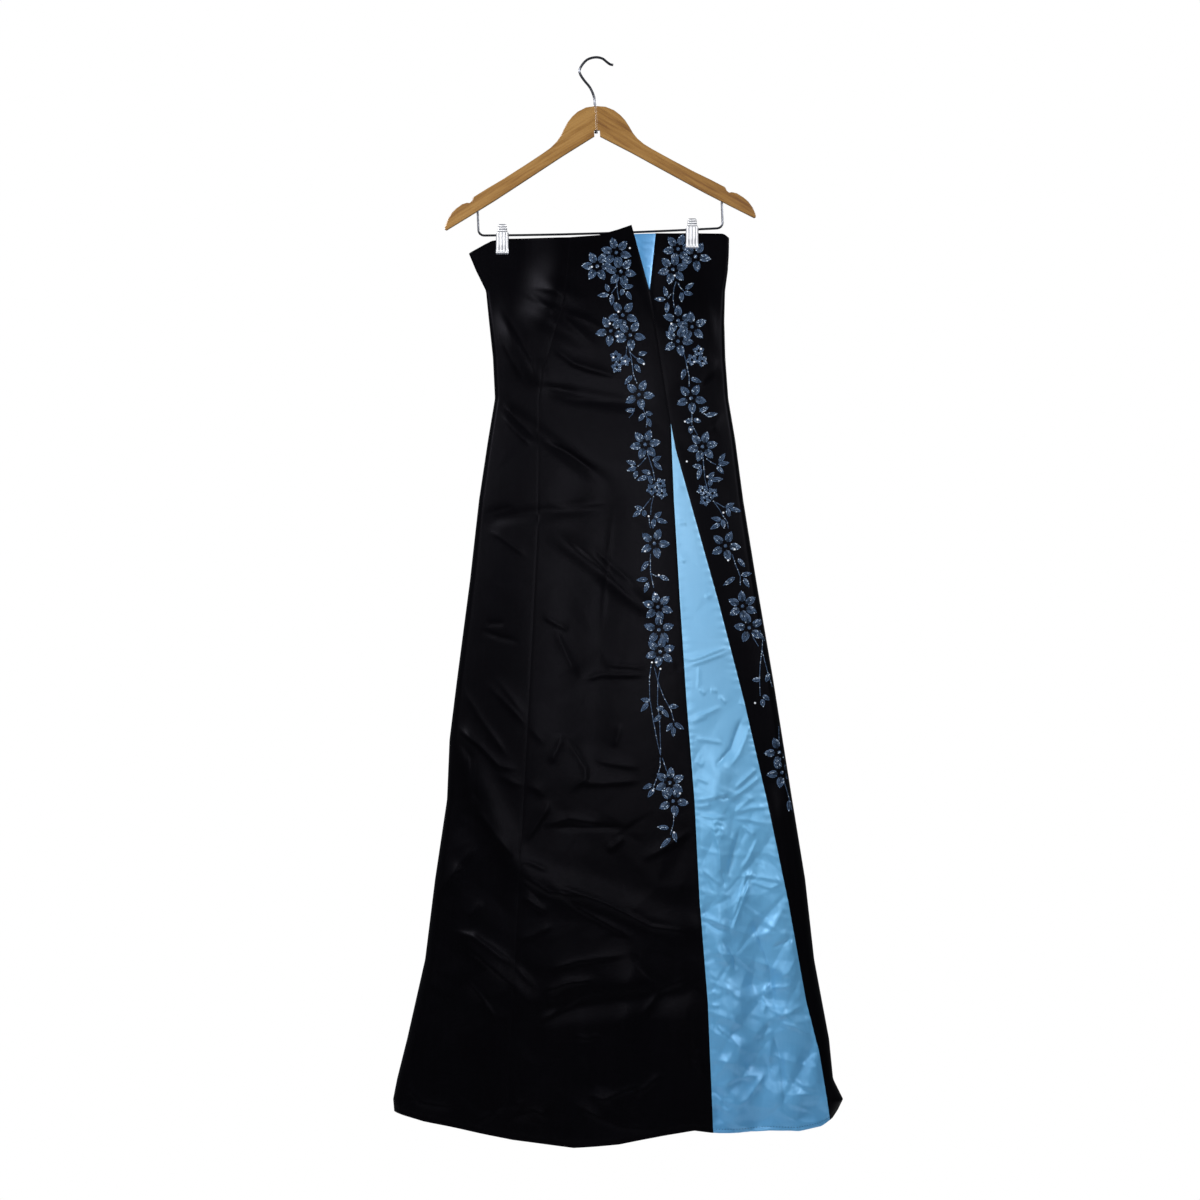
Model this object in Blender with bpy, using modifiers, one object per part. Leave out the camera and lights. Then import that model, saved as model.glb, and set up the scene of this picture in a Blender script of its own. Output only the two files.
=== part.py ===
"""Strapless full-length satin gown with a contrast godet, clipped to a wooden hanger.

Metres, +Z up. The origin is the inner top of the hanger's hook, where it sits on a rail.
The front of the gown faces -Y, and +X is to the right of someone who faces it.
A drop is a distance below the origin, so a point's height is minus its drop.
"""

import math

import bmesh
import bpy
import numpy as np
from mathutils import Matrix, Vector

# Cloth
WALL = 0.0015
SEAM_GAP = 0.0003
PINCHED_HALF = WALL + 0.0003

# Outline of the gown, level by level: x of each silhouette, how far front and back stand out
# from the middle plane, and the radius of the side fold
SECTIONS = {
    "drop": (0.240, 0.280, 0.304, 0.333, 0.376, 0.429, 0.487, 0.547, 0.633, 0.748, 0.890,
             0.976, 1.062, 1.176, 1.291, 1.405, 1.462, 1.491, 1.517, 1.570),
    "left": (-0.1880, -0.1816, -0.1716, -0.1573, -0.1530, -0.1473, -0.1444, -0.1544, -0.1673,
             -0.1802, -0.1988, -0.2095, -0.2131, -0.2302, -0.2445, -0.2703, -0.2846, -0.2903,
             -0.2880, -0.2860),
    "right": (0.1916, 0.1910, 0.1895, 0.1855, 0.1845, 0.1860, 0.1902, 0.2002, 0.2116, 0.2302,
              0.2545, 0.2681, 0.2817, 0.3003, 0.3132, 0.3346, 0.3403, 0.3546, 0.3418, 0.3390),
    "front": (0.013, 0.015, 0.017, 0.019, 0.021, 0.021, 0.020, 0.023, 0.027, 0.032, 0.037,
              0.040, 0.042, 0.045, 0.049, 0.052, 0.053, 0.054, 0.054, 0.054),
    "back": (0.013, 0.014, 0.016, 0.017, 0.018, 0.019, 0.018, 0.021, 0.025, 0.029, 0.033,
             0.035, 0.037, 0.040, 0.043, 0.046, 0.047, 0.048, 0.048, 0.048),
    "fold": (0.0045, 0.0050, 0.0055, 0.0060, 0.0065, 0.0070, 0.0070, 0.0075, 0.0085, 0.0100,
             0.0110, 0.0115, 0.0120, 0.0130, 0.0140, 0.0150, 0.0150, 0.0150, 0.0150, 0.0150),
}
BULGE_POWER = 3.2
FOLD_SHARE = 0.8

# Edges of the cloth, as drop against x
NECK_LEFT = {
    "x": (-0.1816, -0.1602, -0.1487, -0.1244, -0.0386, 0.0043, 0.0329, 0.0515),
    "drop": (0.2798, 0.2677, 0.2618, 0.2588, 0.2577, 0.2545, 0.2462, 0.2398),
}
NECK_INSERT = {"x": (0.0560, 0.0858), "drop": (0.2530, 0.2518)}
NECK_RIGHT = {
    "x": (0.0858, 0.1359, 0.1830, 0.1916),
    "drop": (0.2514, 0.2508, 0.2516, 0.2577),
}
NECK_BACK = {
    "x": (-0.1816, -0.1602, -0.1487, -0.1200, 0.0000, 0.1200, 0.1830, 0.1916),
    "drop": (0.2798, 0.2690, 0.2642, 0.2632, 0.2625, 0.2580, 0.2555, 0.2577),
}
HEM = {
    "x": (-0.2903, -0.2460, -0.1816, -0.1173, -0.0315, 0.0329, 0.0972, 0.1401, 0.1645,
          0.2045, 0.2474, 0.2903, 0.3218, 0.3389, 0.3546),
    "drop": (1.5075, 1.5192, 1.5308, 1.5430, 1.5536, 1.5490, 1.5365, 1.5294, 1.5325,
             1.5337, 1.5308, 1.5322, 1.5270, 1.5170, 1.4954),
}

# Seams of the front, as x against drop. The notch and the godet each start from a point.
NOTCH_POINT = 0.3342
GODET_POINT = 0.5301
PRINCESS_SEAM = {
    "drop": (0.255, 0.347, 0.447, 0.487, 0.662, 0.905, 1.205, 1.560),
    "x": (-0.0370, -0.0458, -0.0744, -0.0815, -0.0822, -0.0944, -0.1101, -0.1290),
}
SPLIT_LEFT = {
    "drop": (0.2398, NOTCH_POINT, GODET_POINT, 0.633, 0.776, 0.919, 1.062, 1.205, 1.348, 1.540),
    "x": (0.0515, 0.0772, 0.1073, 0.1117, 0.1201, 0.1294, 0.1408, 0.1480, 0.1595, 0.1673),
}
SPLIT_RIGHT = {
    "drop": (0.2527, NOTCH_POINT, GODET_POINT, 0.5615, 0.633, 0.776, 0.919, 1.062, 1.205,
             1.348, 1.420, 1.462, 1.540),
    "x": (0.0858, 0.0772, 0.1073, 0.1144, 0.1344, 0.1745, 0.2116, 0.2445, 0.2746,
          0.3003, 0.3189, 0.3260, 0.3385),
}
CENTRE_BACK = {"drop": (0.255, 0.487, 0.890, 1.570), "x": (0.005, 0.022, 0.027, 0.030)}

# Levels that all the panels share, so that their edges meet along a seam
INSERT_BOTTOM = NOTCH_POINT - 0.008
GODET_TOP = GODET_POINT + 0.012
HEM_ZONE = 1.480
ROWS_ABOVE_NOTCH = 7
ROWS_OF_BODICE = 8
ROWS_OF_SKIRT = 28
ROWS_OF_HEM = 2

# Largest folds: a soft ridge (or trough, where height is negative) from one point to another
FRONT_FOLDS = {
    "x0": (-0.126, -0.150, -0.138, -0.074, -0.134, -0.052, -0.162, 0.009, -0.203, -0.110,
           -0.225, -0.180, -0.080, 0.055, -0.170, 0.176, 0.235, 0.262, 0.150, 0.120),
    "drop0": (0.296, 0.345, 0.335, 0.474, 0.496, 0.688, 0.662, 0.605, 0.969, 1.162,
              1.150, 1.262, 1.362, 1.300, 1.330, 1.000, 1.120, 1.060, 0.330, 0.480),
    "x1": (-0.030, -0.074, -0.010, 0.060, 0.006, 0.083, 0.004, -0.010, -0.110, 0.147,
           -0.260, -0.080, 0.120, -0.010, -0.215, 0.190, 0.222, 0.285, 0.186, 0.198),
    "drop1": (0.345, 0.468, 0.410, 0.497, 0.602, 0.795, 0.640, 1.005, 1.162, 1.248,
              1.420, 1.362, 1.333, 1.570, 1.570, 1.560, 1.560, 1.560, 0.420, 0.452),
    "width": (0.013, 0.016, 0.015, 0.010, 0.011, 0.012, 0.010, 0.036, 0.020, 0.018,
              0.022, 0.016, 0.016, 0.034, 0.030, 0.022, 0.022, 0.020, 0.012, 0.011),
    "height": (0.0030, 0.0042, 0.0036, -0.0024, -0.0026, 0.0030, -0.0024, -0.0050, 0.0052,
               0.0042, 0.0050, 0.0040, -0.0040, 0.0062, -0.0056, 0.0058, -0.0050, 0.0050,
               0.0024, -0.0020),
}
BACK_FOLDS = {
    "x0": (-0.110, 0.125, -0.070, 0.110, 0.215, -0.180, -0.060, 0.040),
    "drop0": (0.300, 0.290, 0.620, 0.640, 0.900, 0.950, 1.200, 0.520),
    "x1": (-0.040, 0.070, -0.105, 0.150, 0.262, -0.215, -0.030, 0.130),
    "drop1": (0.430, 0.420, 1.570, 1.570, 1.540, 1.540, 1.570, 0.560),
    "width": (0.016, 0.016, 0.034, 0.032, 0.026, 0.026, 0.028, 0.013),
    "height": (0.0034, 0.0034, 0.0060, -0.0052, 0.0050, -0.0048, -0.0046, -0.0024),
}
FOLD_FADE = 0.030

# Wooden hanger, in its own frame: x from the joint, z from the top of the hump
HANGER_TOP_DROP = 0.0686
HANGER_TILT = math.radians(2.3)
WOOD_THICKNESS = 0.012
WOOD_EDGE_ROUND = 0.0025
ARM_OUTLINE = {
    "x": (0.0, 0.014, 0.026, 0.034, 0.041, 0.047, 0.052, 0.058, 0.067, 0.078, 0.090, 0.107,
          0.137, 0.160, 0.1805, 0.1830, 0.1860, 0.1900, 0.1970, 0.2060, 0.2130, 0.2190, 0.2225,
          0.2232, 0.2205, 0.1855, 0.1510, 0.1000, 0.0485, 0.0),
    "z": (0.0, -0.0015, -0.0070, -0.0135, -0.0215, -0.0315, -0.0410, -0.0490, -0.0572,
          -0.0645, -0.0718, -0.0820, -0.0995, -0.1118, -0.1235, -0.1290, -0.1315, -0.1310,
          -0.1330, -0.1390, -0.1455, -0.1545, -0.1630, -0.1680, -0.1690, -0.1495, -0.1300,
          -0.0995, -0.0685, -0.0410),
}
SLOT_LEFT, SLOT_RIGHT, SLOT_TOP, SLOT_BOTTOM = -0.0036, 0.0046, -0.0345, -0.0500

# Chromed wire: the hook, whose inner top is the origin, and the bar under the arms
HOOK_WIRE = 0.0018
HOOK_PATH = {
    "x": (-0.0014, -0.0024, -0.0078, -0.0166, -0.0223, -0.0230, -0.0184, -0.0110, 0.0000,
          0.0095, 0.0160, 0.0208, 0.0252),
    "z": (-0.0640, -0.0549, -0.0421, -0.0312, -0.0221, -0.0160, -0.0078, -0.0010, 0.0018,
          0.0000, -0.0050, -0.0084, -0.0092),
}
HOOK_POINTS = 36
SHANK_X, SHANK_COLLAR, SHANK_BOTTOM = -0.0008, 0.0005, -0.0375
SHANK_HEAD_RADIUS, SHANK_HEAD_HEIGHT = 0.0024, 0.0025
BORE_CLEARANCE = 0.0004
BAR_WIRE = 0.0016
BAR_HALF_WIDTH = 0.175
BAR_DROP_LEFT, BAR_DROP_RIGHT, BAR_SAG = 0.1782, 0.1815, 0.0022
BAR_SPAN_POINTS = 7
BAR_CORNER = 0.008
BAR_LEG_TOP = -0.1385

# Clips, each in a frame at the bar's middle line
CLIP_PLACES = {"left": -0.1410, "right": 0.1310}
JAW = {
    "z": (0.0150, 0.0136, 0.0115, 0.0093, 0.0072, 0.0052, 0.0030, -0.0056, -0.0142, -0.0215,
          -0.0275),
    "y": (0.0088, 0.0089, 0.0076, 0.0077, 0.0063, 0.0064, 0.0052, 0.0051, 0.0042, 0.0027, 0.0027),
    "half_width": (0.0042, 0.0060, 0.0066, 0.0068, 0.0068, 0.0068, 0.0090, 0.0090, 0.0090,
                   0.0090, 0.0088),
    "edge_turn": (0.0, 0.0004, 0.0006, 0.0006, 0.0006, 0.0008, 0.0026, 0.0028, 0.0016, 0.0, 0.0),
    "rib": (0.0, 0.0, 0.0, 0.0, 0.0, 0.0, 0.0005, 0.0005, 0.0005, 0.0005, 0.0),
}
JAW_WALL = 0.0010
JAW_COLUMNS = 9
SPRING_OUTER = 0.0042
SPRING_BORE = 0.0021
SPRING_LENGTH = 0.011
JAW_FLAT, JAW_EASE = 0.020, 0.044
JAW_EASE_BELOW = 0.075

# Concealed back fastener: its slider and the pull that swings on it
SLIDER_TOP = 0.0050
SLIDER_WIDTH, SLIDER_HEIGHT, SLIDER_THICKNESS = 0.0050, 0.0095, 0.0014
CHEEK_THICKNESS, CHEEK_HALF_HEIGHT = 0.0009, 0.0014
PIN_RADIUS, PULL_EYE, KNUCKLE_RADIUS = 0.0005, 0.0009, 0.0015
PULL_THICKNESS, PULL_HALF_WIDTH, PULL_LENGTH = 0.0012, 0.0030, 0.018

ROUND_STEPS = 24


# Small helpers


def through(xs, ys, at):
    """A smooth curve through the points (xs, ys), read at `at`, straight beyond its ends."""
    xs, ys = np.array(xs, float), np.array(ys, float)
    if len(xs) == 2:
        return np.interp(at, xs, ys)
    slopes = np.gradient(ys, xs)
    at = np.asarray(at, float)
    held = np.clip(at, xs[0], xs[-1])
    i = np.clip(np.searchsorted(xs, held) - 1, 0, len(xs) - 2)
    width = xs[i + 1] - xs[i]
    t = (held - xs[i]) / width
    start, end = ys[i], ys[i + 1]
    value = (
        (2 * t**3 - 3 * t**2 + 1) * start
        + (t**3 - 2 * t**2 + t) * width * slopes[i]
        + (3 * t**2 - 2 * t**3) * end
        + (t**3 - t**2) * width * slopes[i + 1]
    )
    return value


def eased(value, full, none):
    """1 up to `full`, then falling smoothly to 0 at `none`."""
    t = np.clip((none - value) / (none - full), 0.0, 1.0)
    return t * t * (3 - 2 * t)


def section(column, drop):
    if column in ("left", "right"):
        return np.interp(drop, SECTIONS["drop"], SECTIONS[column])
    return through(SECTIONS["drop"], SECTIONS[column], drop)


def hanger_point(x, z):
    """A point of the hanger's own frame, in the part's frame, as (x, z)."""
    cos, sin = math.cos(HANGER_TILT), math.sin(HANGER_TILT)
    return x * cos - z * sin, x * sin + z * cos - HANGER_TOP_DROP


def bar_drop(x):
    """How far the bar hangs below the top of the hump: lower at the right, and sagging a little."""
    level = np.interp(x, (-BAR_HALF_WIDTH, BAR_HALF_WIDTH), (BAR_DROP_LEFT, BAR_DROP_RIGHT))
    return float(level + BAR_SAG * (1 - (x / BAR_HALF_WIDTH) ** 2))


def clip_centres():
    return {name: hanger_point(x, -bar_drop(x)) for name, x in CLIP_PLACES.items()}


# The gown's surface


def x_across(q, drop):
    """x at q, from -1 at the left side seam to 1 at the right one; the folds take the ends."""
    left, right, fold = (section(c, drop) for c in ("left", "right", "fold"))
    turn = np.clip((1 - np.abs(q)) / (1 - FOLD_SHARE), 0, 1) * math.pi / 2
    inset = fold * (1 - np.cos(turn))
    middle = left + fold + (q + FOLD_SHARE) / (2 * FOLD_SHARE) * (right - left - 2 * fold)
    return np.where(q < -FOLD_SHARE, left + inset, np.where(q > FOLD_SHARE, right - inset, middle))


def q_at(x, drop):
    """The q whose x is this, where the cloth lies flat or turns into a side fold."""
    left, right, fold = (section(c, drop) for c in ("left", "right", "fold"))
    flat = (x - left - fold) / (right - left - 2 * fold) * 2 * FOLD_SHARE - FOLD_SHARE
    inset = np.clip(np.minimum(x - left, right - x), 0, fold)
    turned = 1 - (1 - FOLD_SHARE) * np.arccos(1 - inset / fold) / (math.pi / 2)
    return np.where(flat < -FOLD_SHARE, -turned, np.where(flat > FOLD_SHARE, turned, flat))


def pinch(x, drop):
    """1 where a clip presses front and back together, 0 clear of it."""
    total = np.zeros_like(x)
    for centre_x, centre_z in clip_centres().values():
        jaw_bottom = -centre_z - JAW["z"][-1]
        across = eased(np.abs(x - centre_x), JAW_FLAT, JAW_EASE)
        down = eased(drop, jaw_bottom + 0.006, jaw_bottom + JAW_EASE_BELOW)
        total = np.maximum(total, across * down)
    return total


def folds_at(folds, x, drop):
    """Height of the soft ridges and troughs."""
    total = np.zeros_like(x)
    for x0, d0, x1, d1, width, height in zip(*(folds[c] for c in folds)):
        run, fall = x1 - x0, d1 - d0
        length = math.hypot(run, fall)
        share = ((x - x0) * run + (drop - d0) * fall) / length**2
        off = ((x - x0) * fall - (drop - d0) * run) / length
        beyond = np.maximum(-share, share - 1) * length
        total += height * np.exp(-(off / width) ** 2) * eased(beyond, -FOLD_FADE, FOLD_FADE)
    return total


def surface(side, q, drop):
    """The outer point at (q, drop) of the front (side -1) or the back (side 1)."""
    q, drop = np.broadcast_arrays(np.asarray(q, float), np.asarray(drop, float))
    x = x_across(q, drop)
    left, right, fold = (section(c, drop) for c in ("left", "right", "fold"))
    stand = section("front" if side < 0 else "back", drop)
    edge = np.minimum(x - left, right - x)
    rounded = np.sqrt(np.maximum(fold**2 - np.maximum(fold - edge, 0) ** 2, 0))
    across = np.abs(2 * (x - left) / (right - left) - 1)
    depth = rounded + (stand - fold) * (1 - across**BULGE_POWER) * np.minimum(rounded / fold, 1)
    held = pinch(x, drop)
    wave = folds_at(FRONT_FOLDS if side < 0 else BACK_FOLDS, x, drop)
    depth = depth + wave * (1 - held) * eased(-edge, -0.030, -0.004)
    depth = depth + (PINCHED_HALF - depth) * held
    return np.stack([x, side * depth, -drop], axis=-1)


def outward(side, q, drop):
    """Unit normals of the surface, pointing out of the gown."""
    step_q, step_drop = 1e-4, 1e-4
    low, high = np.maximum(q - step_q, -1), np.minimum(q + step_q, 1)
    across = surface(side, high, drop) - surface(side, low, drop)
    down = surface(side, q, drop + step_drop) - surface(side, q, drop - step_drop)
    normal = np.cross(across, down) * side
    return normal / np.linalg.norm(normal, axis=-1, keepdims=True)


def edge_drop(edge, q_of_drop, start):
    """The drop at which a column of cloth meets an edge given as drop against x."""
    drop = start
    for _ in range(60):
        meets = float(np.interp(x_across(q_of_drop(drop), drop), edge["x"], edge["drop"]))
        drop = 0.5 * (drop + meets)
    return drop


def seam(table, offset):
    """A panel's edge as q against drop, moved sideways by half the gap at a seam."""
    return lambda drop: q_at(np.interp(drop, table["drop"], table["x"]) + offset, drop)


def side_seam(sign):
    """The edge at a side seam, half the gap round the fold from the middle plane."""

    def at(drop):
        angle = SEAM_GAP / 2 / section("fold", drop)
        return sign * (1 - (1 - FOLD_SHARE) * angle / (math.pi / 2))

    return at


def levels(top, bottom, coarse):
    """The drops of one column's points, shared with its neighbours away from neck and hem."""
    zones = ((top, INSERT_BOTTOM, ROWS_ABOVE_NOTCH), (INSERT_BOTTOM, GODET_TOP, ROWS_OF_BODICE),
             (GODET_TOP, HEM_ZONE, ROWS_OF_SKIRT), (HEM_ZONE, bottom, ROWS_OF_HEM))
    drops = []
    for start, end, rows in zones:
        if end <= top or start >= bottom:
            continue
        start, end = max(start, top), min(end, bottom)
        count = max(1, round(rows / coarse))
        drops += list(np.linspace(start, end, count, endpoint=False))
    return drops + [bottom]


def cloth_panel(name, side, left_edge, right_edge, neck, columns, material, bottom=HEM, coarse=1):
    """One panel: a wall between two seams, from its top edge to its bottom edge."""
    outer, inner = [], []
    for share in np.linspace(0, 1, columns + 1):
        def q_of(drop, share=share):
            return (1 - share) * left_edge(drop) + share * right_edge(drop)
        top = neck if isinstance(neck, float) else edge_drop(neck, q_of, neck["drop"][0])
        end = bottom if isinstance(bottom, float) else edge_drop(bottom, q_of, 1.52)
        drops = np.array(levels(top, end, coarse))
        q = np.array([float(q_of(d)) for d in drops])
        points = surface(side, q, drops)
        outer.append(points)
        inner.append(points - WALL * outward(side, q, drops))
    return wall(name, np.array(outer), np.array(inner), material, flip=side > 0)


# Turning points into closed bodies


def wall(name, outer, inner, material, flip=False):
    """A closed body between two grids of points, joined round their rims."""
    columns, rows = outer.shape[:2]
    count = columns * rows
    points = np.concatenate([outer.reshape(-1, 3), inner.reshape(-1, 3)])

    def at(c, r):
        return c * rows + r

    faces = []
    for c in range(columns - 1):
        for r in range(rows - 1):
            quad = (at(c, r), at(c, r + 1), at(c + 1, r + 1), at(c + 1, r))
            faces.append(quad)
            faces.append(tuple(count + k for k in reversed(quad)))
    rim = (
        [at(c, 0) for c in range(columns)]
        + [at(columns - 1, r) for r in range(1, rows)]
        + [at(c, rows - 1) for c in range(columns - 2, -1, -1)]
        + [at(0, r) for r in range(rows - 2, 0, -1)]
    )
    for a, b in zip(rim, rim[1:] + rim[:1]):
        faces.append((a, b, count + b, count + a))
    if flip:
        faces = [tuple(reversed(face)) for face in faces]
    mesh = bpy.data.meshes.new(name)
    mesh.from_pydata([tuple(p) for p in points], [], faces)
    return add(name, mesh, material)


def add(name, mesh, material):
    mesh.materials.clear()
    mesh.materials.append(material)
    mesh.shade_smooth()
    mesh.set_sharp_from_angle(angle=math.radians(40))
    thing = bpy.data.objects.new(name, mesh)
    GOWN.objects.link(thing)
    return thing


def cutter(name, mesh):
    thing = bpy.data.objects.new(name, mesh)
    CUTTERS.objects.link(thing)
    thing.hide_render = True
    thing.display_type = "WIRE"
    return thing


def cylinder_mesh(name, radius, length, axis, centre):
    """A cylinder along axis X or Z, with its middle at centre."""
    shape = bmesh.new()
    bmesh.ops.create_cone(shape, cap_ends=True, segments=ROUND_STEPS, radius1=radius,
                          radius2=radius, depth=length)
    turn = Matrix.Rotation(math.pi / 2, 4, "Y") if axis == "X" else Matrix.Identity(4)
    bmesh.ops.transform(shape, matrix=Matrix.Translation(centre) @ turn, verts=shape.verts)
    mesh = bpy.data.meshes.new(name)
    shape.to_mesh(mesh)
    shape.free()
    return mesh


def box_mesh(name, low, high):
    shape = bmesh.new()
    bmesh.ops.create_cube(shape, size=1)
    size = Vector(high) - Vector(low)
    place = Matrix.Translation((Vector(low) + Vector(high)) / 2) @ Matrix.Diagonal((*size, 1))
    bmesh.ops.transform(shape, matrix=place, verts=shape.verts)
    mesh = bpy.data.meshes.new(name)
    shape.to_mesh(mesh)
    shape.free()
    return mesh


def wire_mesh(name, path, radius):
    """A round wire along a path, as a closed mesh."""
    curve = bpy.data.curves.new(name + "_line", "CURVE")
    curve.dimensions = "3D"
    curve.bevel_depth = radius
    curve.bevel_resolution = 2
    curve.use_fill_caps = True
    line = curve.splines.new("POLY")
    line.points.add(len(path) - 1)
    for point, place in zip(line.points, path):
        point.co = (*place, 1)
    guide = bpy.data.objects.new(name + "_line", curve)
    CUTTERS.objects.link(guide)
    return mesh_of_curve(guide, name)


def outline_mesh(name, outline, thickness):
    """A flat plate with this outline of (x, z), its thickness along y."""
    curve = bpy.data.curves.new(name + "_line", "CURVE")
    curve.dimensions = "2D"
    curve.fill_mode = "BOTH"
    curve.extrude = thickness / 2
    line = curve.splines.new("POLY")
    line.points.add(len(outline) - 1)
    for point, (x, z) in zip(line.points, outline):
        point.co = (x, z, 0, 1)
    line.use_cyclic_u = True
    guide = bpy.data.objects.new(name + "_line", curve)
    guide.rotation_euler = (math.pi / 2, 0, 0)
    CUTTERS.objects.link(guide)
    return mesh_of_curve(guide, name)


def mesh_of_curve(guide, name):
    bpy.context.view_layer.update()
    graph = bpy.context.evaluated_depsgraph_get()
    mesh = bpy.data.meshes.new_from_object(guide.evaluated_get(graph))
    mesh.name = name
    mesh.transform(guide.matrix_world)
    line = guide.data
    bpy.data.objects.remove(guide)
    bpy.data.curves.remove(line)
    shape = bmesh.new()
    shape.from_mesh(mesh)
    bmesh.ops.remove_doubles(shape, verts=shape.verts, dist=1e-5)
    bmesh.ops.recalc_face_normals(shape, faces=shape.faces)
    shape.to_mesh(mesh)
    shape.free()
    return mesh


def combine(thing, operation, *others):
    for other in others:
        step = thing.modifiers.new(other.name, "BOOLEAN")
        step.operation = operation
        step.object = other


def finish(name, colour, roughness, metallic=0.0):
    material = bpy.data.materials.new(name)
    material.use_nodes = True
    shader = material.node_tree.nodes["Principled BSDF"]
    shader.inputs["Base Color"].default_value = (*colour, 1)
    shader.inputs["Roughness"].default_value = roughness
    shader.inputs["Metallic"].default_value = metallic
    return material


# The gown


def make_front():
    half = SEAM_GAP / 2
    black, blue = MATERIALS["black_satin"], MATERIALS["blue_satin"]
    cloth_panel("front_side_panel", -1, side_seam(-1), seam(PRINCESS_SEAM, -half),
                NECK_LEFT, 11, black)
    cloth_panel("front_centre_panel", -1, seam(PRINCESS_SEAM, half), seam(SPLIT_LEFT, -half),
                NECK_LEFT, 10, black)
    cloth_panel("front_right_panel", -1, seam(SPLIT_RIGHT, half), side_seam(1),
                NECK_RIGHT, 9, black)
    cloth_panel("skirt_godet", -1, seam(SPLIT_LEFT, half), seam(SPLIT_RIGHT, -half),
                GODET_TOP, 7, blue)
    cloth_panel("neckline_insert", -1, seam(SPLIT_LEFT, half), seam(SPLIT_RIGHT, -half),
                NECK_INSERT, 2, blue, bottom=INSERT_BOTTOM)


def make_back():
    half = SEAM_GAP / 2
    black = MATERIALS["black_satin"]
    cloth_panel("back_left_panel", 1, side_seam(-1), seam(CENTRE_BACK, -half),
                NECK_BACK, 9, black, coarse=1.5)
    cloth_panel("back_right_panel", 1, seam(CENTRE_BACK, half), side_seam(1),
                NECK_BACK, 9, black, coarse=1.5)


# The hanger


def make_arms(frame):
    outline = list(zip(ARM_OUTLINE["x"], ARM_OUTLINE["z"]))
    outline[0] = (SEAM_GAP / 2, outline[0][1])
    outline[-1] = (SEAM_GAP / 2, outline[-1][1])
    shank = cutter("shank_bore", cylinder_mesh("shank_bore", HOOK_WIRE + BORE_CLEARANCE, 0.060,
                                               "Z", (SHANK_X, 0, -0.020)))
    slot = cutter("hook_slot", box_mesh("hook_slot", (SLOT_LEFT, -WOOD_THICKNESS, SLOT_BOTTOM),
                                        (SLOT_RIGHT, WOOD_THICKNESS, SLOT_TOP)))
    for name, sign in (("hanger_arm_left", -1), ("hanger_arm_right", 1)):
        mesh = outline_mesh(name, [(sign * x, z) for x, z in outline], WOOD_THICKNESS)
        arm = add(name, mesh, MATERIALS["wood"])
        arm.parent = frame
        rounding = arm.modifiers.new("edges", "BEVEL")
        rounding.width = WOOD_EDGE_ROUND
        rounding.segments = 2
        rounding.limit_method = "ANGLE"
        rounding.angle_limit = math.radians(50)
        leg_hole = cutter(name + "_leg_hole",
                          cylinder_mesh(name + "_leg_hole", BAR_WIRE + BORE_CLEARANCE, 0.040, "Z",
                                        (sign * BAR_HALF_WIDTH, 0, BAR_LEG_TOP - 0.0195)))
        for tool in (shank, slot, leg_hole):
            tool.parent = frame
        combine(arm, "DIFFERENCE", shank, slot, leg_hole)


def bar_path():
    """Up one leg's end, round a corner, along the sagging span, and round and up the other leg."""
    turns = [math.radians(a) for a in (0, 22.5, 45, 67.5)]
    reach = BAR_HALF_WIDTH - BAR_CORNER
    corners = []
    for sign in (-1, 1):
        foot = -bar_drop(sign * reach) + BAR_CORNER
        corners.append([(sign * (reach + BAR_CORNER * math.cos(a)), 0,
                         foot - BAR_CORNER * math.sin(a)) for a in turns])
    span = [(x, 0, -bar_drop(x)) for x in np.linspace(-reach, reach, BAR_SPAN_POINTS)]
    ends = [(sign * BAR_HALF_WIDTH, 0, BAR_LEG_TOP) for sign in (-1, 1)]
    return [ends[0]] + corners[0] + span + corners[1][::-1] + [ends[1]]


def make_wire(frame):
    collar_x, collar_z = hanger_point(SHANK_X, SHANK_COLLAR)
    foot_x, foot_z = hanger_point(SHANK_X, SHANK_BOTTOM)
    xs = (collar_x, *HOOK_PATH["x"])
    zs = (collar_z, *HOOK_PATH["z"])
    steps = np.linspace(0, len(xs) - 1, HOOK_POINTS)
    path = [(foot_x, 0, foot_z)]
    path += [(x, 0, z) for x, z in zip(through(range(len(xs)), xs, steps),
                                       through(range(len(zs)), zs, steps))]
    hook = add("hanger_hook", wire_mesh("hanger_hook", path, HOOK_WIRE), MATERIALS["chrome"])
    head = cutter("shank_head", cylinder_mesh("shank_head", SHANK_HEAD_RADIUS, SHANK_HEAD_HEIGHT,
                                              "Z", (foot_x, 0, foot_z)))
    combine(hook, "UNION", head)
    bar = add("hanger_bar", wire_mesh("hanger_bar", bar_path(), BAR_WIRE), MATERIALS["chrome"])
    bar.parent = frame


def clip_jaw(name, side, centre):
    """A stamped plate: ribbed ear above, and ribbed jaw below whose edges turn towards the cloth."""
    shares = np.linspace(-1, 1, JAW_COLUMNS)
    ribs = np.array([k % 2 for k in range(JAW_COLUMNS)], float)
    outer, inner = [], []
    for share, rib in zip(shares, ribs):
        x = share * np.array(JAW["half_width"])
        turn = np.array(JAW["edge_turn"]) * share**6
        y = np.array(JAW["y"]) - turn
        raised = y + JAW_WALL / 2 + rib * np.array(JAW["rib"])
        z = np.array(JAW["z"])
        outer.append(np.stack([centre[0] + x, side * raised, centre[1] + z], axis=-1))
        inner.append(np.stack([centre[0] + x * 0.94, side * (y - JAW_WALL / 2), centre[1] + z],
                              axis=-1))
    return wall(name, np.array(outer), np.array(inner), MATERIALS["chrome"], flip=side > 0)


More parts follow.
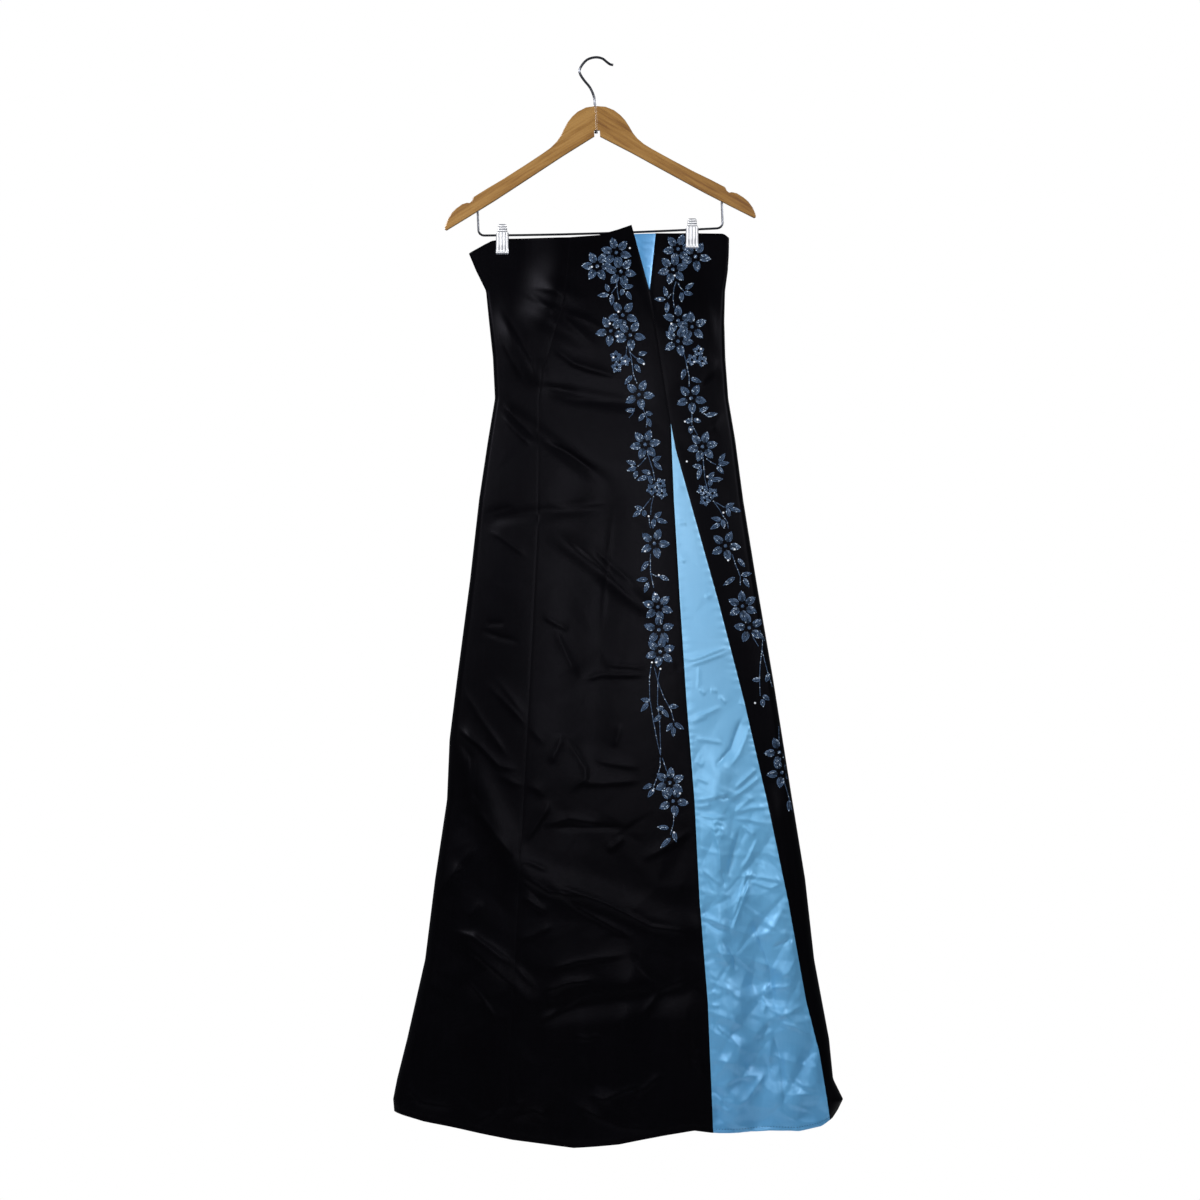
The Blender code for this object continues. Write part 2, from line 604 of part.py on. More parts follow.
def make_clips():
    for name, centre in clip_centres().items():
        clip_jaw(f"clip_{name}_front_jaw", -1, centre)
        clip_jaw(f"clip_{name}_back_jaw", 1, centre)
        spring_mesh = cylinder_mesh(f"clip_{name}_spring", SPRING_OUTER, SPRING_LENGTH, "X",
                                    (0, 0, 0))
        spring = add(f"clip_{name}_spring", spring_mesh, MATERIALS["chrome"])
        spring.location = (centre[0], 0, centre[1])
        spring.rotation_euler = (0, -HANGER_TILT, 0)
        bore = cutter(f"clip_{name}_bore", cylinder_mesh(f"clip_{name}_bore", SPRING_BORE, 0.040,
                                                         "X", (0, 0, 0)))
        bore.location = spring.location
        bore.rotation_euler = spring.rotation_euler
        combine(spring, "DIFFERENCE", bore)


# The back fastener


def fastener_place():
    """x and drop of the slider's top, and y of the cloth behind its lower end."""
    x = float(np.interp(0.27, CENTRE_BACK["drop"], CENTRE_BACK["x"]))
    drop = float(np.interp(x, NECK_BACK["x"], NECK_BACK["drop"])) + SLIDER_TOP
    cloth = float(surface(1, q_at(x, drop + SLIDER_HEIGHT), drop + SLIDER_HEIGHT)[1])
    return x, drop, cloth


def make_fastener():
    x, top, cloth = fastener_place()
    base_y = cloth + SEAM_GAP
    front_y = base_y + SLIDER_THICKNESS
    pin_z = -top - SLIDER_HEIGHT * 0.62
    pin_y = front_y + KNUCKLE_RADIUS + SEAM_GAP
    half = SLIDER_WIDTH / 2
    slider = add("zip_slider", box_mesh("zip_slider", (x - half, base_y, -top - SLIDER_HEIGHT),
                                        (x + half, front_y, -top)), MATERIALS["zip_metal"])
    helpers = []
    for side, sign in (("left", -1), ("right", 1)):
        inner_x, outer_x = sorted((x + sign * (half - CHEEK_THICKNESS), x + sign * half))
        helpers.append(cutter(f"slider_cheek_{side}", box_mesh(
            "slider_cheek", (inner_x, front_y - CHEEK_THICKNESS / 2, pin_z - CHEEK_HALF_HEIGHT),
            (outer_x, pin_y + CHEEK_HALF_HEIGHT, pin_z + CHEEK_HALF_HEIGHT))))
    helpers.append(cutter("slider_pin", cylinder_mesh("slider_pin", PIN_RADIUS,
                                                      SLIDER_WIDTH - CHEEK_THICKNESS, "X",
                                                      (x, pin_y, pin_z))))
    combine(slider, "UNION", *helpers)
    make_pull(x, pin_y, pin_z)


def make_pull(x, pin_y, pin_z):
    """A rounded tab under a knuckle round the slider's pin; its origin is on the pin's axis."""
    knuckle_half = SLIDER_WIDTH / 2 - CHEEK_THICKNESS - SEAM_GAP
    outline = [(-knuckle_half, -PIN_RADIUS * 2)]
    for angle in np.linspace(math.radians(190), math.radians(350), 12):
        outline.append((PULL_HALF_WIDTH * math.cos(angle),
                        PULL_HALF_WIDTH * (1 + math.sin(angle)) - PULL_LENGTH))
    outline.append((knuckle_half, -PIN_RADIUS * 2))
    tab = add("zip_pull", outline_mesh("zip_pull", outline, PULL_THICKNESS),
              MATERIALS["zip_metal"])
    tab.location = (x, pin_y, pin_z)
    knuckle = cutter("pull_knuckle", cylinder_mesh("pull_knuckle", KNUCKLE_RADIUS,
                                                   2 * knuckle_half, "X", (0, 0, 0)))
    eye = cutter("pull_eye", cylinder_mesh("pull_eye", PULL_EYE, 4 * knuckle_half, "X",
                                           (0, 0, 0)))
    for tool in (knuckle, eye):
        tool.location = tab.location
    combine(tab, "UNION", knuckle)
    combine(tab, "DIFFERENCE", eye)


# Scene


for old in list(bpy.data.objects):
    bpy.data.objects.remove(old)
GOWN = bpy.data.collections.new("gown_on_hanger")
CUTTERS = bpy.data.collections.new("cutters")
for group in (GOWN, CUTTERS):
    bpy.context.scene.collection.children.link(group)
MATERIALS = {
    "black_satin": finish("black_satin", (0.006, 0.006, 0.008), 0.42),
    "blue_satin": finish("blue_satin", (0.16, 0.48, 0.82), 0.38),
    "wood": finish("wood", (0.42, 0.22, 0.06), 0.40),
    "chrome": finish("chrome", (0.80, 0.81, 0.83), 0.12, 1.0),
    "zip_metal": finish("zip_metal", (0.03, 0.03, 0.035), 0.35, 0.6),
}
hanger_frame = bpy.data.objects.new("hanger_frame", None)
GOWN.objects.link(hanger_frame)
hanger_frame.location = (0, 0, -HANGER_TOP_DROP)
hanger_frame.rotation_euler = (0, -HANGER_TILT, 0)

make_front()
make_back()
make_arms(hanger_frame)
make_wire(hanger_frame)
make_clips()
make_fastener()
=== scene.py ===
"""Looks of a strapless black satin gown with a blue godet, beaded vines and a clip hanger.

Metres, +Z up. The origin is the inner top of the hanger's hook, and the front faces -Y.
A drop is a distance below the origin. The chart is a plan of the front in steps
of CHART_STEP: its x runs to the right and its y runs down.
"""

import math

import bpy
import numpy as np
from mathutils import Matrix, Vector


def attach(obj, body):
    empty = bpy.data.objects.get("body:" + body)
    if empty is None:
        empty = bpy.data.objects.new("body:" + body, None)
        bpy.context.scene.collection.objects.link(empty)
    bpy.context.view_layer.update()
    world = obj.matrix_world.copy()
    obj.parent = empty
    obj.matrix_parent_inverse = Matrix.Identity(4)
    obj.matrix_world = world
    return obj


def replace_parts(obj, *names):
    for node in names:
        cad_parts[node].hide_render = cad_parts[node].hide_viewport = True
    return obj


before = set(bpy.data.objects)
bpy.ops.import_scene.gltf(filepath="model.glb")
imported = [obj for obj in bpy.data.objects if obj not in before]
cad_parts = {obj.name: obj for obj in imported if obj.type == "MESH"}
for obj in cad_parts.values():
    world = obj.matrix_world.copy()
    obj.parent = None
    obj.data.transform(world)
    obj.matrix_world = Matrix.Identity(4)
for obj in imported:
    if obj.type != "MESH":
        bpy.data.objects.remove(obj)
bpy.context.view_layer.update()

GOWN_BODY = "gown_and_hanger"

# Cloth
THICKNESS = 0.0011
SEAM_GAP = 0.00001
PINCHED_HALF = 0.0018
ROW_STEPS = {"black": 0.0030, "blue": 0.0021, "back": 0.0042}

# The plan's scale and the hook's place on it
CHART_STEP = 0.001426
CHART_HOOK = (596.8, 57.5)

# Outline of the gown, level by level: x of each silhouette, how far front and back stand out
# from the middle plane, and the radius of the side fold
SECTIONS = {
    "drop": (0.240, 0.280, 0.304, 0.333, 0.376, 0.429, 0.487, 0.547, 0.633, 0.748, 0.890,
             0.976, 1.062, 1.176, 1.291, 1.405, 1.462, 1.491, 1.517, 1.570),
    "left": (-0.1880, -0.1816, -0.1716, -0.1573, -0.1530, -0.1473, -0.1444, -0.1544, -0.1673,
             -0.1802, -0.1988, -0.2095, -0.2131, -0.2302, -0.2445, -0.2703, -0.2846, -0.2903,
             -0.2880, -0.2860),
    "right": (0.1916, 0.1910, 0.1895, 0.1855, 0.1845, 0.1860, 0.1902, 0.2002, 0.2116, 0.2302,
              0.2545, 0.2681, 0.2817, 0.3003, 0.3132, 0.3346, 0.3403, 0.3546, 0.3418, 0.3390),
    "front": (0.013, 0.015, 0.017, 0.019, 0.021, 0.021, 0.020, 0.023, 0.027, 0.032, 0.037,
              0.040, 0.042, 0.045, 0.049, 0.052, 0.053, 0.054, 0.054, 0.054),
    "back": (0.013, 0.014, 0.016, 0.017, 0.018, 0.019, 0.018, 0.021, 0.025, 0.029, 0.033,
             0.035, 0.037, 0.040, 0.043, 0.046, 0.047, 0.048, 0.048, 0.048),
    "fold": (0.0045, 0.0050, 0.0055, 0.0060, 0.0065, 0.0070, 0.0070, 0.0075, 0.0085, 0.0100,
             0.0110, 0.0115, 0.0120, 0.0130, 0.0140, 0.0150, 0.0150, 0.0150, 0.0150, 0.0150),
}
BULGE_POWER = 3.2
FOLD_SHARE = 0.8

# Edges of the cloth, as drop against x
NECK_LEFT = {
    "x": (-0.1816, -0.1602, -0.1487, -0.1244, -0.0386, 0.0043, 0.0329, 0.0515),
    "drop": (0.2798, 0.2677, 0.2618, 0.2588, 0.2577, 0.2545, 0.2462, 0.2398),
}
NECK_INSERT = {"x": (0.0560, 0.0858), "drop": (0.2530, 0.2518)}
NECK_RIGHT = {
    "x": (0.0858, 0.1359, 0.1830, 0.1916),
    "drop": (0.2514, 0.2508, 0.2516, 0.2577),
}
NECK_BACK = {
    "x": (-0.1816, -0.1602, -0.1487, -0.1200, 0.0000, 0.1200, 0.1830, 0.1916),
    "drop": (0.2798, 0.2690, 0.2642, 0.2632, 0.2625, 0.2580, 0.2555, 0.2577),
}
HEM = {
    "x": (-0.2903, -0.2460, -0.1816, -0.1173, -0.0315, 0.0329, 0.0972, 0.1401, 0.1645,
          0.2045, 0.2474, 0.2903, 0.3218, 0.3389, 0.3546),
    "drop": (1.5075, 1.5192, 1.5308, 1.5430, 1.5536, 1.5490, 1.5365, 1.5294, 1.5325,
             1.5337, 1.5308, 1.5322, 1.5270, 1.5170, 1.4954),
}

# Seams, as x against drop. The notch and the godet each start from a point.
NOTCH_POINT = 0.3342
GODET_POINT = 0.5230
PRINCESS_SEAM = {
    "drop": (0.255, 0.347, 0.447, 0.487, 0.662, 0.905, 1.205, 1.560),
    "x": (-0.0370, -0.0458, -0.0744, -0.0815, -0.0822, -0.0944, -0.1101, -0.1290),
}
SPLIT_LEFT = {
    "drop": (0.2398, NOTCH_POINT, GODET_POINT, 0.633, 0.776, 0.919, 1.062, 1.205, 1.348, 1.540),
    "x": (0.0515, 0.0772, 0.1073, 0.1117, 0.1201, 0.1294, 0.1408, 0.1480, 0.1595, 0.1673),
}
SPLIT_RIGHT = {
    "drop": (0.2527, NOTCH_POINT, GODET_POINT, 0.5615, 0.633, 0.776, 0.919, 1.062, 1.205,
             1.348, 1.420, 1.462, 1.540),
    "x": (0.0858, 0.0772, 0.1073, 0.1144, 0.1344, 0.1745, 0.2116, 0.2445, 0.2746,
          0.3003, 0.3189, 0.3260, 0.3385),
}
CENTRE_BACK = {"drop": (0.255, 0.487, 0.890, 1.570), "x": (0.005, 0.022, 0.027, 0.030)}
INSERT_BOTTOM = NOTCH_POINT - 0.003
GODET_TOP = GODET_POINT + 0.002

# Where the clips press front and back together: a flat part, then an oval ease
PINCH_FLAT, PINCH_ACROSS, PINCH_BELOW = 0.012, 0.078, 0.135
PINCH_FULL = 0.04

# Largest folds: a soft ridge (or trough, where height is negative) from one point to another
FRONT_FOLDS = {
    "x0": (-0.126, -0.150, -0.138, -0.074, -0.134, -0.052, -0.162, 0.009, -0.203, -0.110,
           -0.225, -0.180, -0.080, 0.055, -0.170, 0.176, 0.235, 0.262, 0.150, 0.120),
    "drop0": (0.296, 0.345, 0.335, 0.474, 0.496, 0.688, 0.662, 0.605, 0.969, 1.162,
              1.150, 1.262, 1.362, 1.300, 1.330, 1.000, 1.120, 1.060, 0.330, 0.480),
    "x1": (-0.030, -0.074, -0.010, 0.060, 0.006, 0.083, 0.004, -0.010, -0.110, 0.147,
           -0.260, -0.080, 0.120, -0.010, -0.215, 0.190, 0.222, 0.285, 0.186, 0.198),
    "drop1": (0.345, 0.468, 0.410, 0.497, 0.602, 0.795, 0.640, 1.005, 1.162, 1.248,
              1.420, 1.362, 1.333, 1.570, 1.570, 1.560, 1.560, 1.560, 0.420, 0.452),
    "width": (0.013, 0.016, 0.015, 0.010, 0.011, 0.012, 0.010, 0.036, 0.020, 0.018,
              0.022, 0.016, 0.016, 0.034, 0.030, 0.022, 0.022, 0.020, 0.012, 0.011),
    "height": (0.0030, 0.0042, 0.0036, -0.0024, -0.0026, 0.0030, -0.0024, -0.0050, 0.0052,
               0.0042, 0.0050, 0.0040, -0.0040, 0.0062, -0.0056, 0.0058, -0.0050, 0.0050,
               0.0024, -0.0020),
}
BACK_FOLDS = {
    "x0": (-0.110, 0.125, -0.070, 0.110, 0.215, -0.180, -0.060, 0.040),
    "drop0": (0.300, 0.290, 0.620, 0.640, 0.900, 0.950, 1.200, 0.520),
    "x1": (-0.040, 0.070, -0.105, 0.150, 0.262, -0.215, -0.030, 0.130),
    "drop1": (0.430, 0.420, 1.570, 1.570, 1.540, 1.540, 1.570, 0.560),
    "width": (0.016, 0.016, 0.034, 0.032, 0.026, 0.026, 0.028, 0.013),
    "height": (0.0034, 0.0034, 0.0060, -0.0052, 0.0050, -0.0048, -0.0046, -0.0024),
}
FOLD_FADE = 0.030
# The cloth is plain this close to a side fold, and fully waved this far from it
SIDE_PLAIN, SIDE_WAVED = 0.004, 0.030

# Finer creases: width and height in mm, lean of the steeper flank, then chart points along it.
# A positive lean makes the flank to the left of the line's travel the gentle one.
BLACK_CREASES = (
    (5, 1.5, 0.4, (502, 272), (527, 287), (557, 292), (575, 305)),
    (7, 2, -0.4, (503, 288), (540, 305), (585, 320), (614, 335)),
    (4, 1.2, 0.5, (512, 292), (532, 295), (547, 307), (572, 325), (600, 350)),
    (8, -2.2, 0.3, (495, 297), (515, 330), (533, 362), (537, 388)),
    (7, 1.8, 0.3, (489, 296), (504, 345), (528, 388)),
    (6, 1.6, 0.4, (538, 337), (575, 365), (620, 378)),
    (3.5, 0.9, 0.4, (565, 360), (588, 371), (626, 380)),
    (2.5, -0.9, 0.4, (540, 387), (557, 390), (581, 395)),
    (2.5, -0.8, -0.4, (557, 398), (575, 402), (621, 405)),
    (3.2, -1.8, 0.5, (500, 402), (520, 424), (541, 445)),
    (3, -1.6, -0.5, (541, 441), (568, 453), (600, 475)),
    (5, 1.4, 0.5, (497, 410), (518, 434), (536, 450)),
    (6, 1.6, 0.3, (700, 391), (715, 370), (723, 357)),
    (5, 1.5, -0.3, (710, 433), (722, 420), (733, 412)),
    (3, -1, 0.3, (480, 518), (497, 512), (516, 508)),
    (3.5, 0.9, 0.3, (547, 508), (575, 510), (612, 509)),
    (3, 1, 0.4, (487, 532), (500, 538), (530, 560)),
    (4, -1.5, 0.5, (562, 535), (600, 565), (645, 610)),
    (4.5, 1.3, 0.5, (590, 546), (618, 572), (640, 590)),
    (2.5, 0.7, 0, (615, 505), (609, 560), (602, 636)),
    (3, -1, 0.3, (485, 626), (507, 625)),
    (3, -1.3, 0.5, (480, 632), (502, 640), (522, 645)),
    (3.5, 1.2, 0.4, (542, 617), (560, 627), (571, 633)),
    (4.5, 1.3, -0.3, (555, 628), (570, 660), (581, 681)),
    (3, 1.5, 0.5, (580, 683), (602, 677), (650, 677)),
    (3, 1.2, 0.5, (605, 667), (628, 668), (648, 671)),
    (3.5, -0.9, 0.5, (676, 671), (684, 669)),
    (5, 1.5, 0.3, (485, 682), (512, 710), (550, 750)),
    (4, 1.1, 0.3, (495, 675), (505, 690), (537, 730)),
    (4.5, 1.5, -0.3, (460, 682), (480, 717), (512, 762)),
    (4, 2.1, 0.5, (452, 725), (480, 747), (500, 768), (523, 772)),
    (6, -1.9, 0.2, (455, 735), (472, 760), (475, 795), (487, 812)),
    (4.5, 1.4, 0.4, (497, 775), (515, 785), (537, 790), (548, 800)),
    (6, 1.6, 0.4, (565, 735), (558, 750), (550, 766)),
    (5, 1.6, -0.4, (565, 735), (587, 770), (587, 780), (567, 795)),
    (4, 1.1, 0.3, (615, 750), (619, 738), (622, 725)),
    (4.5, 1.2, 0.4, (590, 760), (612, 765), (643, 770)),
    (4, 1.4, 0.4, (577, 785), (605, 785), (645, 782)),
    (5, 1.8, 0.4, (542, 828), (570, 820), (605, 826)),
    (3, -1.3, 0.4, (550, 830), (590, 829), (632, 830)),
    (5, 2, 0.4, (522, 848), (537, 828), (548, 811), (551, 799)),
    (5.5, 2.4, 0.4, (478, 810), (497, 838), (517, 861)),
    (4, 1.6, 0.5, (515, 860), (532, 864), (552, 873)),
    (4.5, 1.5, 0.4, (608, 853), (617, 846), (626, 838)),
    (5, 1.7, 0.4, (640, 863), (668, 848), (697, 829)),
    (9, 2.6, 0.2, (440, 898), (458, 870), (481, 843)),
    (4, 2.2, 0.5, (503, 861), (527, 880), (550, 894), (593, 901)),
    (3.8, 2.4, -0.5, (545, 885), (570, 890), (610, 905), (652, 927), (684, 932), (698, 922)),
    (4.5, 1.7, 0.4, (522, 897), (550, 915)),
    (6, -2, 0.3, (510, 865), (528, 886), (546, 908)),
    (3.8, 1.9, 0.5, (550, 885), (580, 910), (630, 937), (638, 948)),
    (4, 1.6, 0.3, (514, 943), (535, 936), (556, 925)),
    (4.5, 2.6, -0.5, (449, 932), (475, 937), (520, 970), (541, 993)),
    (5, 2, 0.5, (465, 945), (502, 977), (526, 996)),
    (4, 2.1, -0.5, (465, 977), (485, 1002), (500, 1023)),
    (3.5, 1.5, 0.3, (500, 1022), (514, 1012), (526, 1020)),
    (3.8, 2.2, 0.5, (540, 995), (565, 985), (598, 980)),
    (3.5, 1.6, 0.4, (545, 972), (580, 962), (615, 957), (631, 954)),
    (3.2, 1.3, 0.4, (549, 996), (562, 988), (578, 978)),
    (4.5, 1.8, 0.5, (540, 1023), (562, 1010), (586, 994)),
    (4.5, 1.8, 0.4, (640, 1020), (663, 990), (693, 977)),
    (5, -1.8, 0.3, (630, 952), (645, 971), (663, 988)),
    (3.5, 1.3, 0.3, (574, 1037), (588, 1039), (603, 1035)),
    (4, 1.6, 0.3, (584, 1092), (605, 1100), (627, 1090), (645, 1084)),
    (5, 1.9, 0.4, (634, 1098), (650, 1085), (664, 1073)),
    (6, 1.8, 0.3, (400, 1080), (422, 1105), (460, 1110)),
    (6, 1.8, 0.4, (474, 1128), (502, 1108), (531, 1102)),
    (6, 1.6, 0.2, (507, 1122), (535, 1110), (553, 1120)),
    (6, 1.7, 0.3, (565, 1097), (590, 1112), (622, 1127), (665, 1130)),
    (7, 2, 0.3, (434, 898), (450, 880), (466, 867)),
    (4, 1.4, 0.4, (469, 921), (485, 902)),
    (3, 1.2, 0, (690, 1060), (700, 1066), (709, 1078)),
    (3, 1, 0, (694, 1052), (704, 1056), (711, 1062)),
    (6, -1.8, 0.2, (736, 470), (748, 520), (760, 600)),
    (5, 1.4, 0.2, (764, 650), (776, 690), (788, 760)),
    (5, 1.4, 0.3, (800, 860), (812, 905), (822, 960)),
)
BLUE_CREASES = (
    (2.2, 0.8, 0.3, (637, 241), (648, 242), (658, 240)),
    (2.2, 0.8, 0.3, (640, 249), (650, 248), (657, 250)),
    (2.2, 0.7, 0.3, (642, 257), (649, 258), (656, 256)),
    (2.2, 0.7, 0.3, (644, 268), (649, 267), (654, 269)),
    (2, 0.6, 0.3, (646, 280), (650, 279), (653, 281)),
    (2.5, 0.8, 0.3, (680, 556), (683, 560), (686, 565)),
    (3, 0.9, 0.3, (717, 593), (711, 597), (705, 599)),
    (2.6, 1.3, 0.5, (686, 663), (700, 660), (712, 655), (731, 648)),
    (2.6, 1.2, 0.5, (688, 668), (702, 664), (716, 659), (732, 653)),
    (2.5, 0.6, 0.2, (700, 665), (699, 695)),
    (3, 1, 0.4, (700, 690), (706, 697)),
    (2.4, 0.9, 0.4, (711, 692), (719, 693)),
    (2.4, 0.9, 0.4, (720, 697), (727, 706)),
    (3, 1.2, -0.4, (692, 720), (709, 714), (724, 707)),
    (2.6, 1, 0.4, (692, 724), (709, 718)),
    (2.6, 1, 0.4, (740, 703), (749, 710)),
    (5, -2.8, 0.4, (744, 717), (739, 729), (732, 750), (720, 764), (716, 773)),
    (5.5, 2.2, 0.3, (752, 722), (747, 740), (740, 756), (728, 772)),
    (3.6, 1.4, 0.4, (695, 740), (709, 742), (725, 745)),
    (3.2, 1.1, 0.4, (695, 762), (705, 768)),
    (3.2, 1.1, 0.4, (695, 778), (711, 785)),
    (2.6, 1.5, 0.4, (695, 803), (714, 799), (732, 795)),
    (2.8, -1.5, 0.2, (716, 797), (724, 800), (733, 798)),
    (2.6, 1.6, 0.4, (734, 792), (745, 782), (755, 773), (762, 771)),
    (2.6, 1.5, -0.4, (732, 800), (748, 789), (764, 776)),
    (3, 1.2, 0.3, (695, 810), (713, 806)),
    (3.4, 1.6, 0.4, (734, 815), (752, 810), (770, 809)),
    (3, 1.2, 0.3, (734, 816), (745, 806), (755, 798)),
    (2.6, 1.1, 0.3, (697, 816), (714, 819), (732, 819)),
    (2.2, 1, 0, (712, 825), (718, 823), (725, 826)),
    (2.2, 1, 0, (713, 832), (719, 829), (726, 832)),
    (2.2, 0.9, 0, (714, 839), (720, 836), (725, 839)),
    (3, 1.3, 0.4, (734, 820), (752, 822), (770, 827)),
    (3, 1.3, 0.4, (743, 827), (750, 833), (757, 838)),
    (4, 1.7, 0.3, (712, 825), (720, 849), (722, 879)),
    (6, -2.6, 0.3, (742, 826), (732, 861), (729, 880)),
    (4, 1.6, 0.4, (760, 838), (749, 861), (740, 873)),
    (2.6, 0.7, 0.2, (677, 487), (687, 488)),
    (2.6, 0.7, 0.2, (679, 524), (688, 524)),
    (2.6, 1.9, 0.4, (754, 868), (747, 892), (737, 920), (730, 940)),
    (2.6, 1.7, -0.4, (750, 868), (742, 896), (733, 922)),
    (3.5, 1.4, 0.4, (733, 879), (748, 877), (766, 880), (787, 884)),
    (3, 1.2, 0.4, (747, 882), (760, 886), (772, 890), (788, 883)),
    (3.4, -1.5, 0.3, (721, 870), (724, 880), (727, 889)),
    (2.6, 1.2, 0.3, (702, 870), (713, 879), (724, 888)),
    (4, 1.7, 0.4, (702, 917), (716, 922), (730, 930)),
    (3.2, -1.3, 0.4, (702, 920), (714, 928), (726, 934)),
    (4.5, -2.2, 0.4, (722, 938), (730, 949), (735, 960), (736, 974)),
    (5.5, 2.1, 0.3, (716, 946), (724, 958), (731, 968), (724, 974)),
    (9, -3.4, 0.5, (752, 918), (760, 940), (770, 966), (773, 991), (777, 1020)),
    (6, 1.8, 0.3, (785, 909), (775, 927), (762, 943)),
    (2.6, -1.5, 0.4, (796, 938), (785, 944), (771, 950)),
    (5, 1.5, 0.2, (800, 955), (790, 972), (778, 982)),
    (3.2, 1.5, 0.4, (771, 990), (786, 989), (794, 985)),
    (6, 1.9, 0.4, (776, 1020), (793, 1013), (808, 1005)),
    (3.6, 1.8, 0.4, (777, 1023), (797, 1029), (817, 1040)),
    (5, 1.2, 0.2, (798, 1010), (808, 1022), (814, 1035)),
    (2.2, 1.2, 0, (712, 1006), (721, 1006)),
    (2.2, 1.2, 0.2, (714, 1029), (717, 1022), (721, 1017)),
    (2.2, 1.1, 0.2, (717, 1025), (726, 1034)),
    (3, 1.3, 0.3, (724, 1030), (736, 1042), (746, 1054)),
    (3, 1.3, 0.4, (731, 1014), (738, 1025), (744, 1026)),
    (6.5, -2.4, 0.3, (772, 1022), (766, 1033), (758, 1046)),
    (3, 1.5, 0, (763, 996), (767, 1005), (764, 1016)),
    (2.6, 1.4, 0, (771, 984), (766, 992), (769, 998)),
    (6, -2.6, 0.4, (773, 1032), (782, 1062), (784, 1086), (786, 1113)),
    (3, 1.5, 0.3, (772, 1040), (770, 1062), (775, 1086)),
    (4, 1.4, 0.4, (712, 1083), (725, 1066), (735, 1050)),
    (3.4, 1.6, 0.4, (717, 1089), (736, 1079), (763, 1076)),
    (5.5, 2.2, 0.4, (733, 1111), (748, 1100), (759, 1085), (767, 1072)),
    (3.4, 1.4, 0.4, (715, 1102), (724, 1109), (732, 1115)),
    (4, -1.6, 0.4, (712, 1086), (721, 1098), (730, 1112)),
    (3.6, 1.4, 0.4, (783, 1075), (802, 1086), (821, 1094)),
    (3.6, 1.3, 0.4, (787, 1103), (802, 1109), (819, 1117)),
    (3, 1.1, 0.2, (741, 1062), (748, 1070), (747, 1080)),
    (3, 1.1, 0.2, (715, 960), (727, 964)),
    (3, 1.1, 0.2, (708, 972), (720, 980), (716, 990)),
    (2.6, 1, 0.2, (724, 985), (736, 996), (746, 1000)),
    (2.4, 0.9, 0.2, (712, 992), (722, 996)),
)
BACK_CREASES = (
    (6, 1.4, 0.4, (508, 272), (534, 284), (572, 290)),
    (5, 1.3, -0.4, (500, 300), (511, 336), (520, 366)),
    (6, 1.5, 0.4, (690, 270), (664, 290), (622, 301)),
    (5, 1.2, 0.3, (704, 290), (697, 322), (682, 350)),
    (3.2, -1.6, 0.5, (500, 398), (528, 420), (566, 430)),
    (3.2, -1.5, 0.5, (728, 396), (700, 424), (664, 436)),
    (4, 1.4, 0.4, (520, 510), (560, 522), (598, 515)),
    (4, 1.5, 0.4, (640, 520), (680, 528), (720, 512)),
    (4.5, 1.8, 0.4, (470, 650), (508, 690), (560, 716)),
    (4.5, 1.7, -0.4, (745, 640), (706, 668), (668, 716)),
    (4, 1.8, 0.4, (540, 780), (590, 796), (640, 786)),
    (5, 2.2, 0.4, (452, 820), (500, 866), (560, 884)),
    (5, 2.1, 0.5, (790, 812), (744, 858), (690, 872)),
    (4, 2.1, -0.5, (600, 900), (646, 922), (700, 918)),
    (4.5, 2.3, 0.5, (450, 960), (506, 990), (548, 1040)),
    (4, 2, 0.4, (560, 1000), (610, 984), (668, 996)),
    (4.5, 2, 0.4, (810, 980), (766, 1012), (742, 1060)),
    (5, 1.9, 0.3, (430, 1080), (486, 1100), (540, 1088)),
    (5, 1.9, 0.3, (600, 1100), (660, 1080), (716, 1092)),
    (4, 1.6, 0.3, (700, 960), (716, 1000), (712, 1040)),
)
CREASES = {"black": BLACK_CREASES, "blue": BLUE_CREASES, "back": BACK_CREASES}
CREASE_TAPER, CREASE_ROUND, CREASE_REACH = 0.28, 0.0007, 7
CREASE_GAIN = {"black": 1.2, "blue": 1.35, "back": 1.2}
CREASE_SPREAD = {"black": 1.0, "blue": 0.85, "back": 1.0}
SEAM_HOLD = 0.85
SEAM_HOLD_REACH = {"black": 0.011, "blue": 0.005, "back": 0.011}

# Crumpling: the spacing of its facets, their height at the neck and at the hem, and a seed
CRUMPLES = {
    "black": {"spacing": 0.050, "neck": 0.0004, "hem": 0.0018, "seed": 11},
    "blue": {"spacing": 0.050, "neck": 0.0005, "hem": 0.0048, "seed": 23},
    "back": {"spacing": 0.056, "neck": 0.0004, "hem": 0.0020, "seed": 37},
}
CRUMPLE_GROWTH = {"drop": (0.25, 0.98, 1.12, 1.30, 1.55), "share": (0, 0.12, 0.7, 1, 1)}
FACET_BOX = ((-0.36, 0.18), (0.42, 1.64))
FACET_JITTER = 0.36
FINE_SPACING, FINE_SHARE = 0.45, 0.25

# Flat shards of the crushed blue skirt: size across and down, lean, height and seed
BLUE_SHARDS = ((0.053, 0.138, 0.55, 0.0074, 41), (0.097, 0.037, 0.35, -0.0046, 43))
SHARD_FADE, SHARD_MIDDLE = (0.93, 1.22), 0.35

# Seams: how deep the groove lies, and the puckers along it
GROOVE_DEPTH, GROOVE_WIDTH = 0.0003, 0.0012
PUCKER_HEIGHT = {"black": 0.00003, "blue": 0.00025, "back": 0.00012}
PUCKER_REACH, PUCKER_SPACING = 0.009, 0.013
WANDER, WANDER_LENGTH, WANDER_SEED = 5.0, 0.05, 71

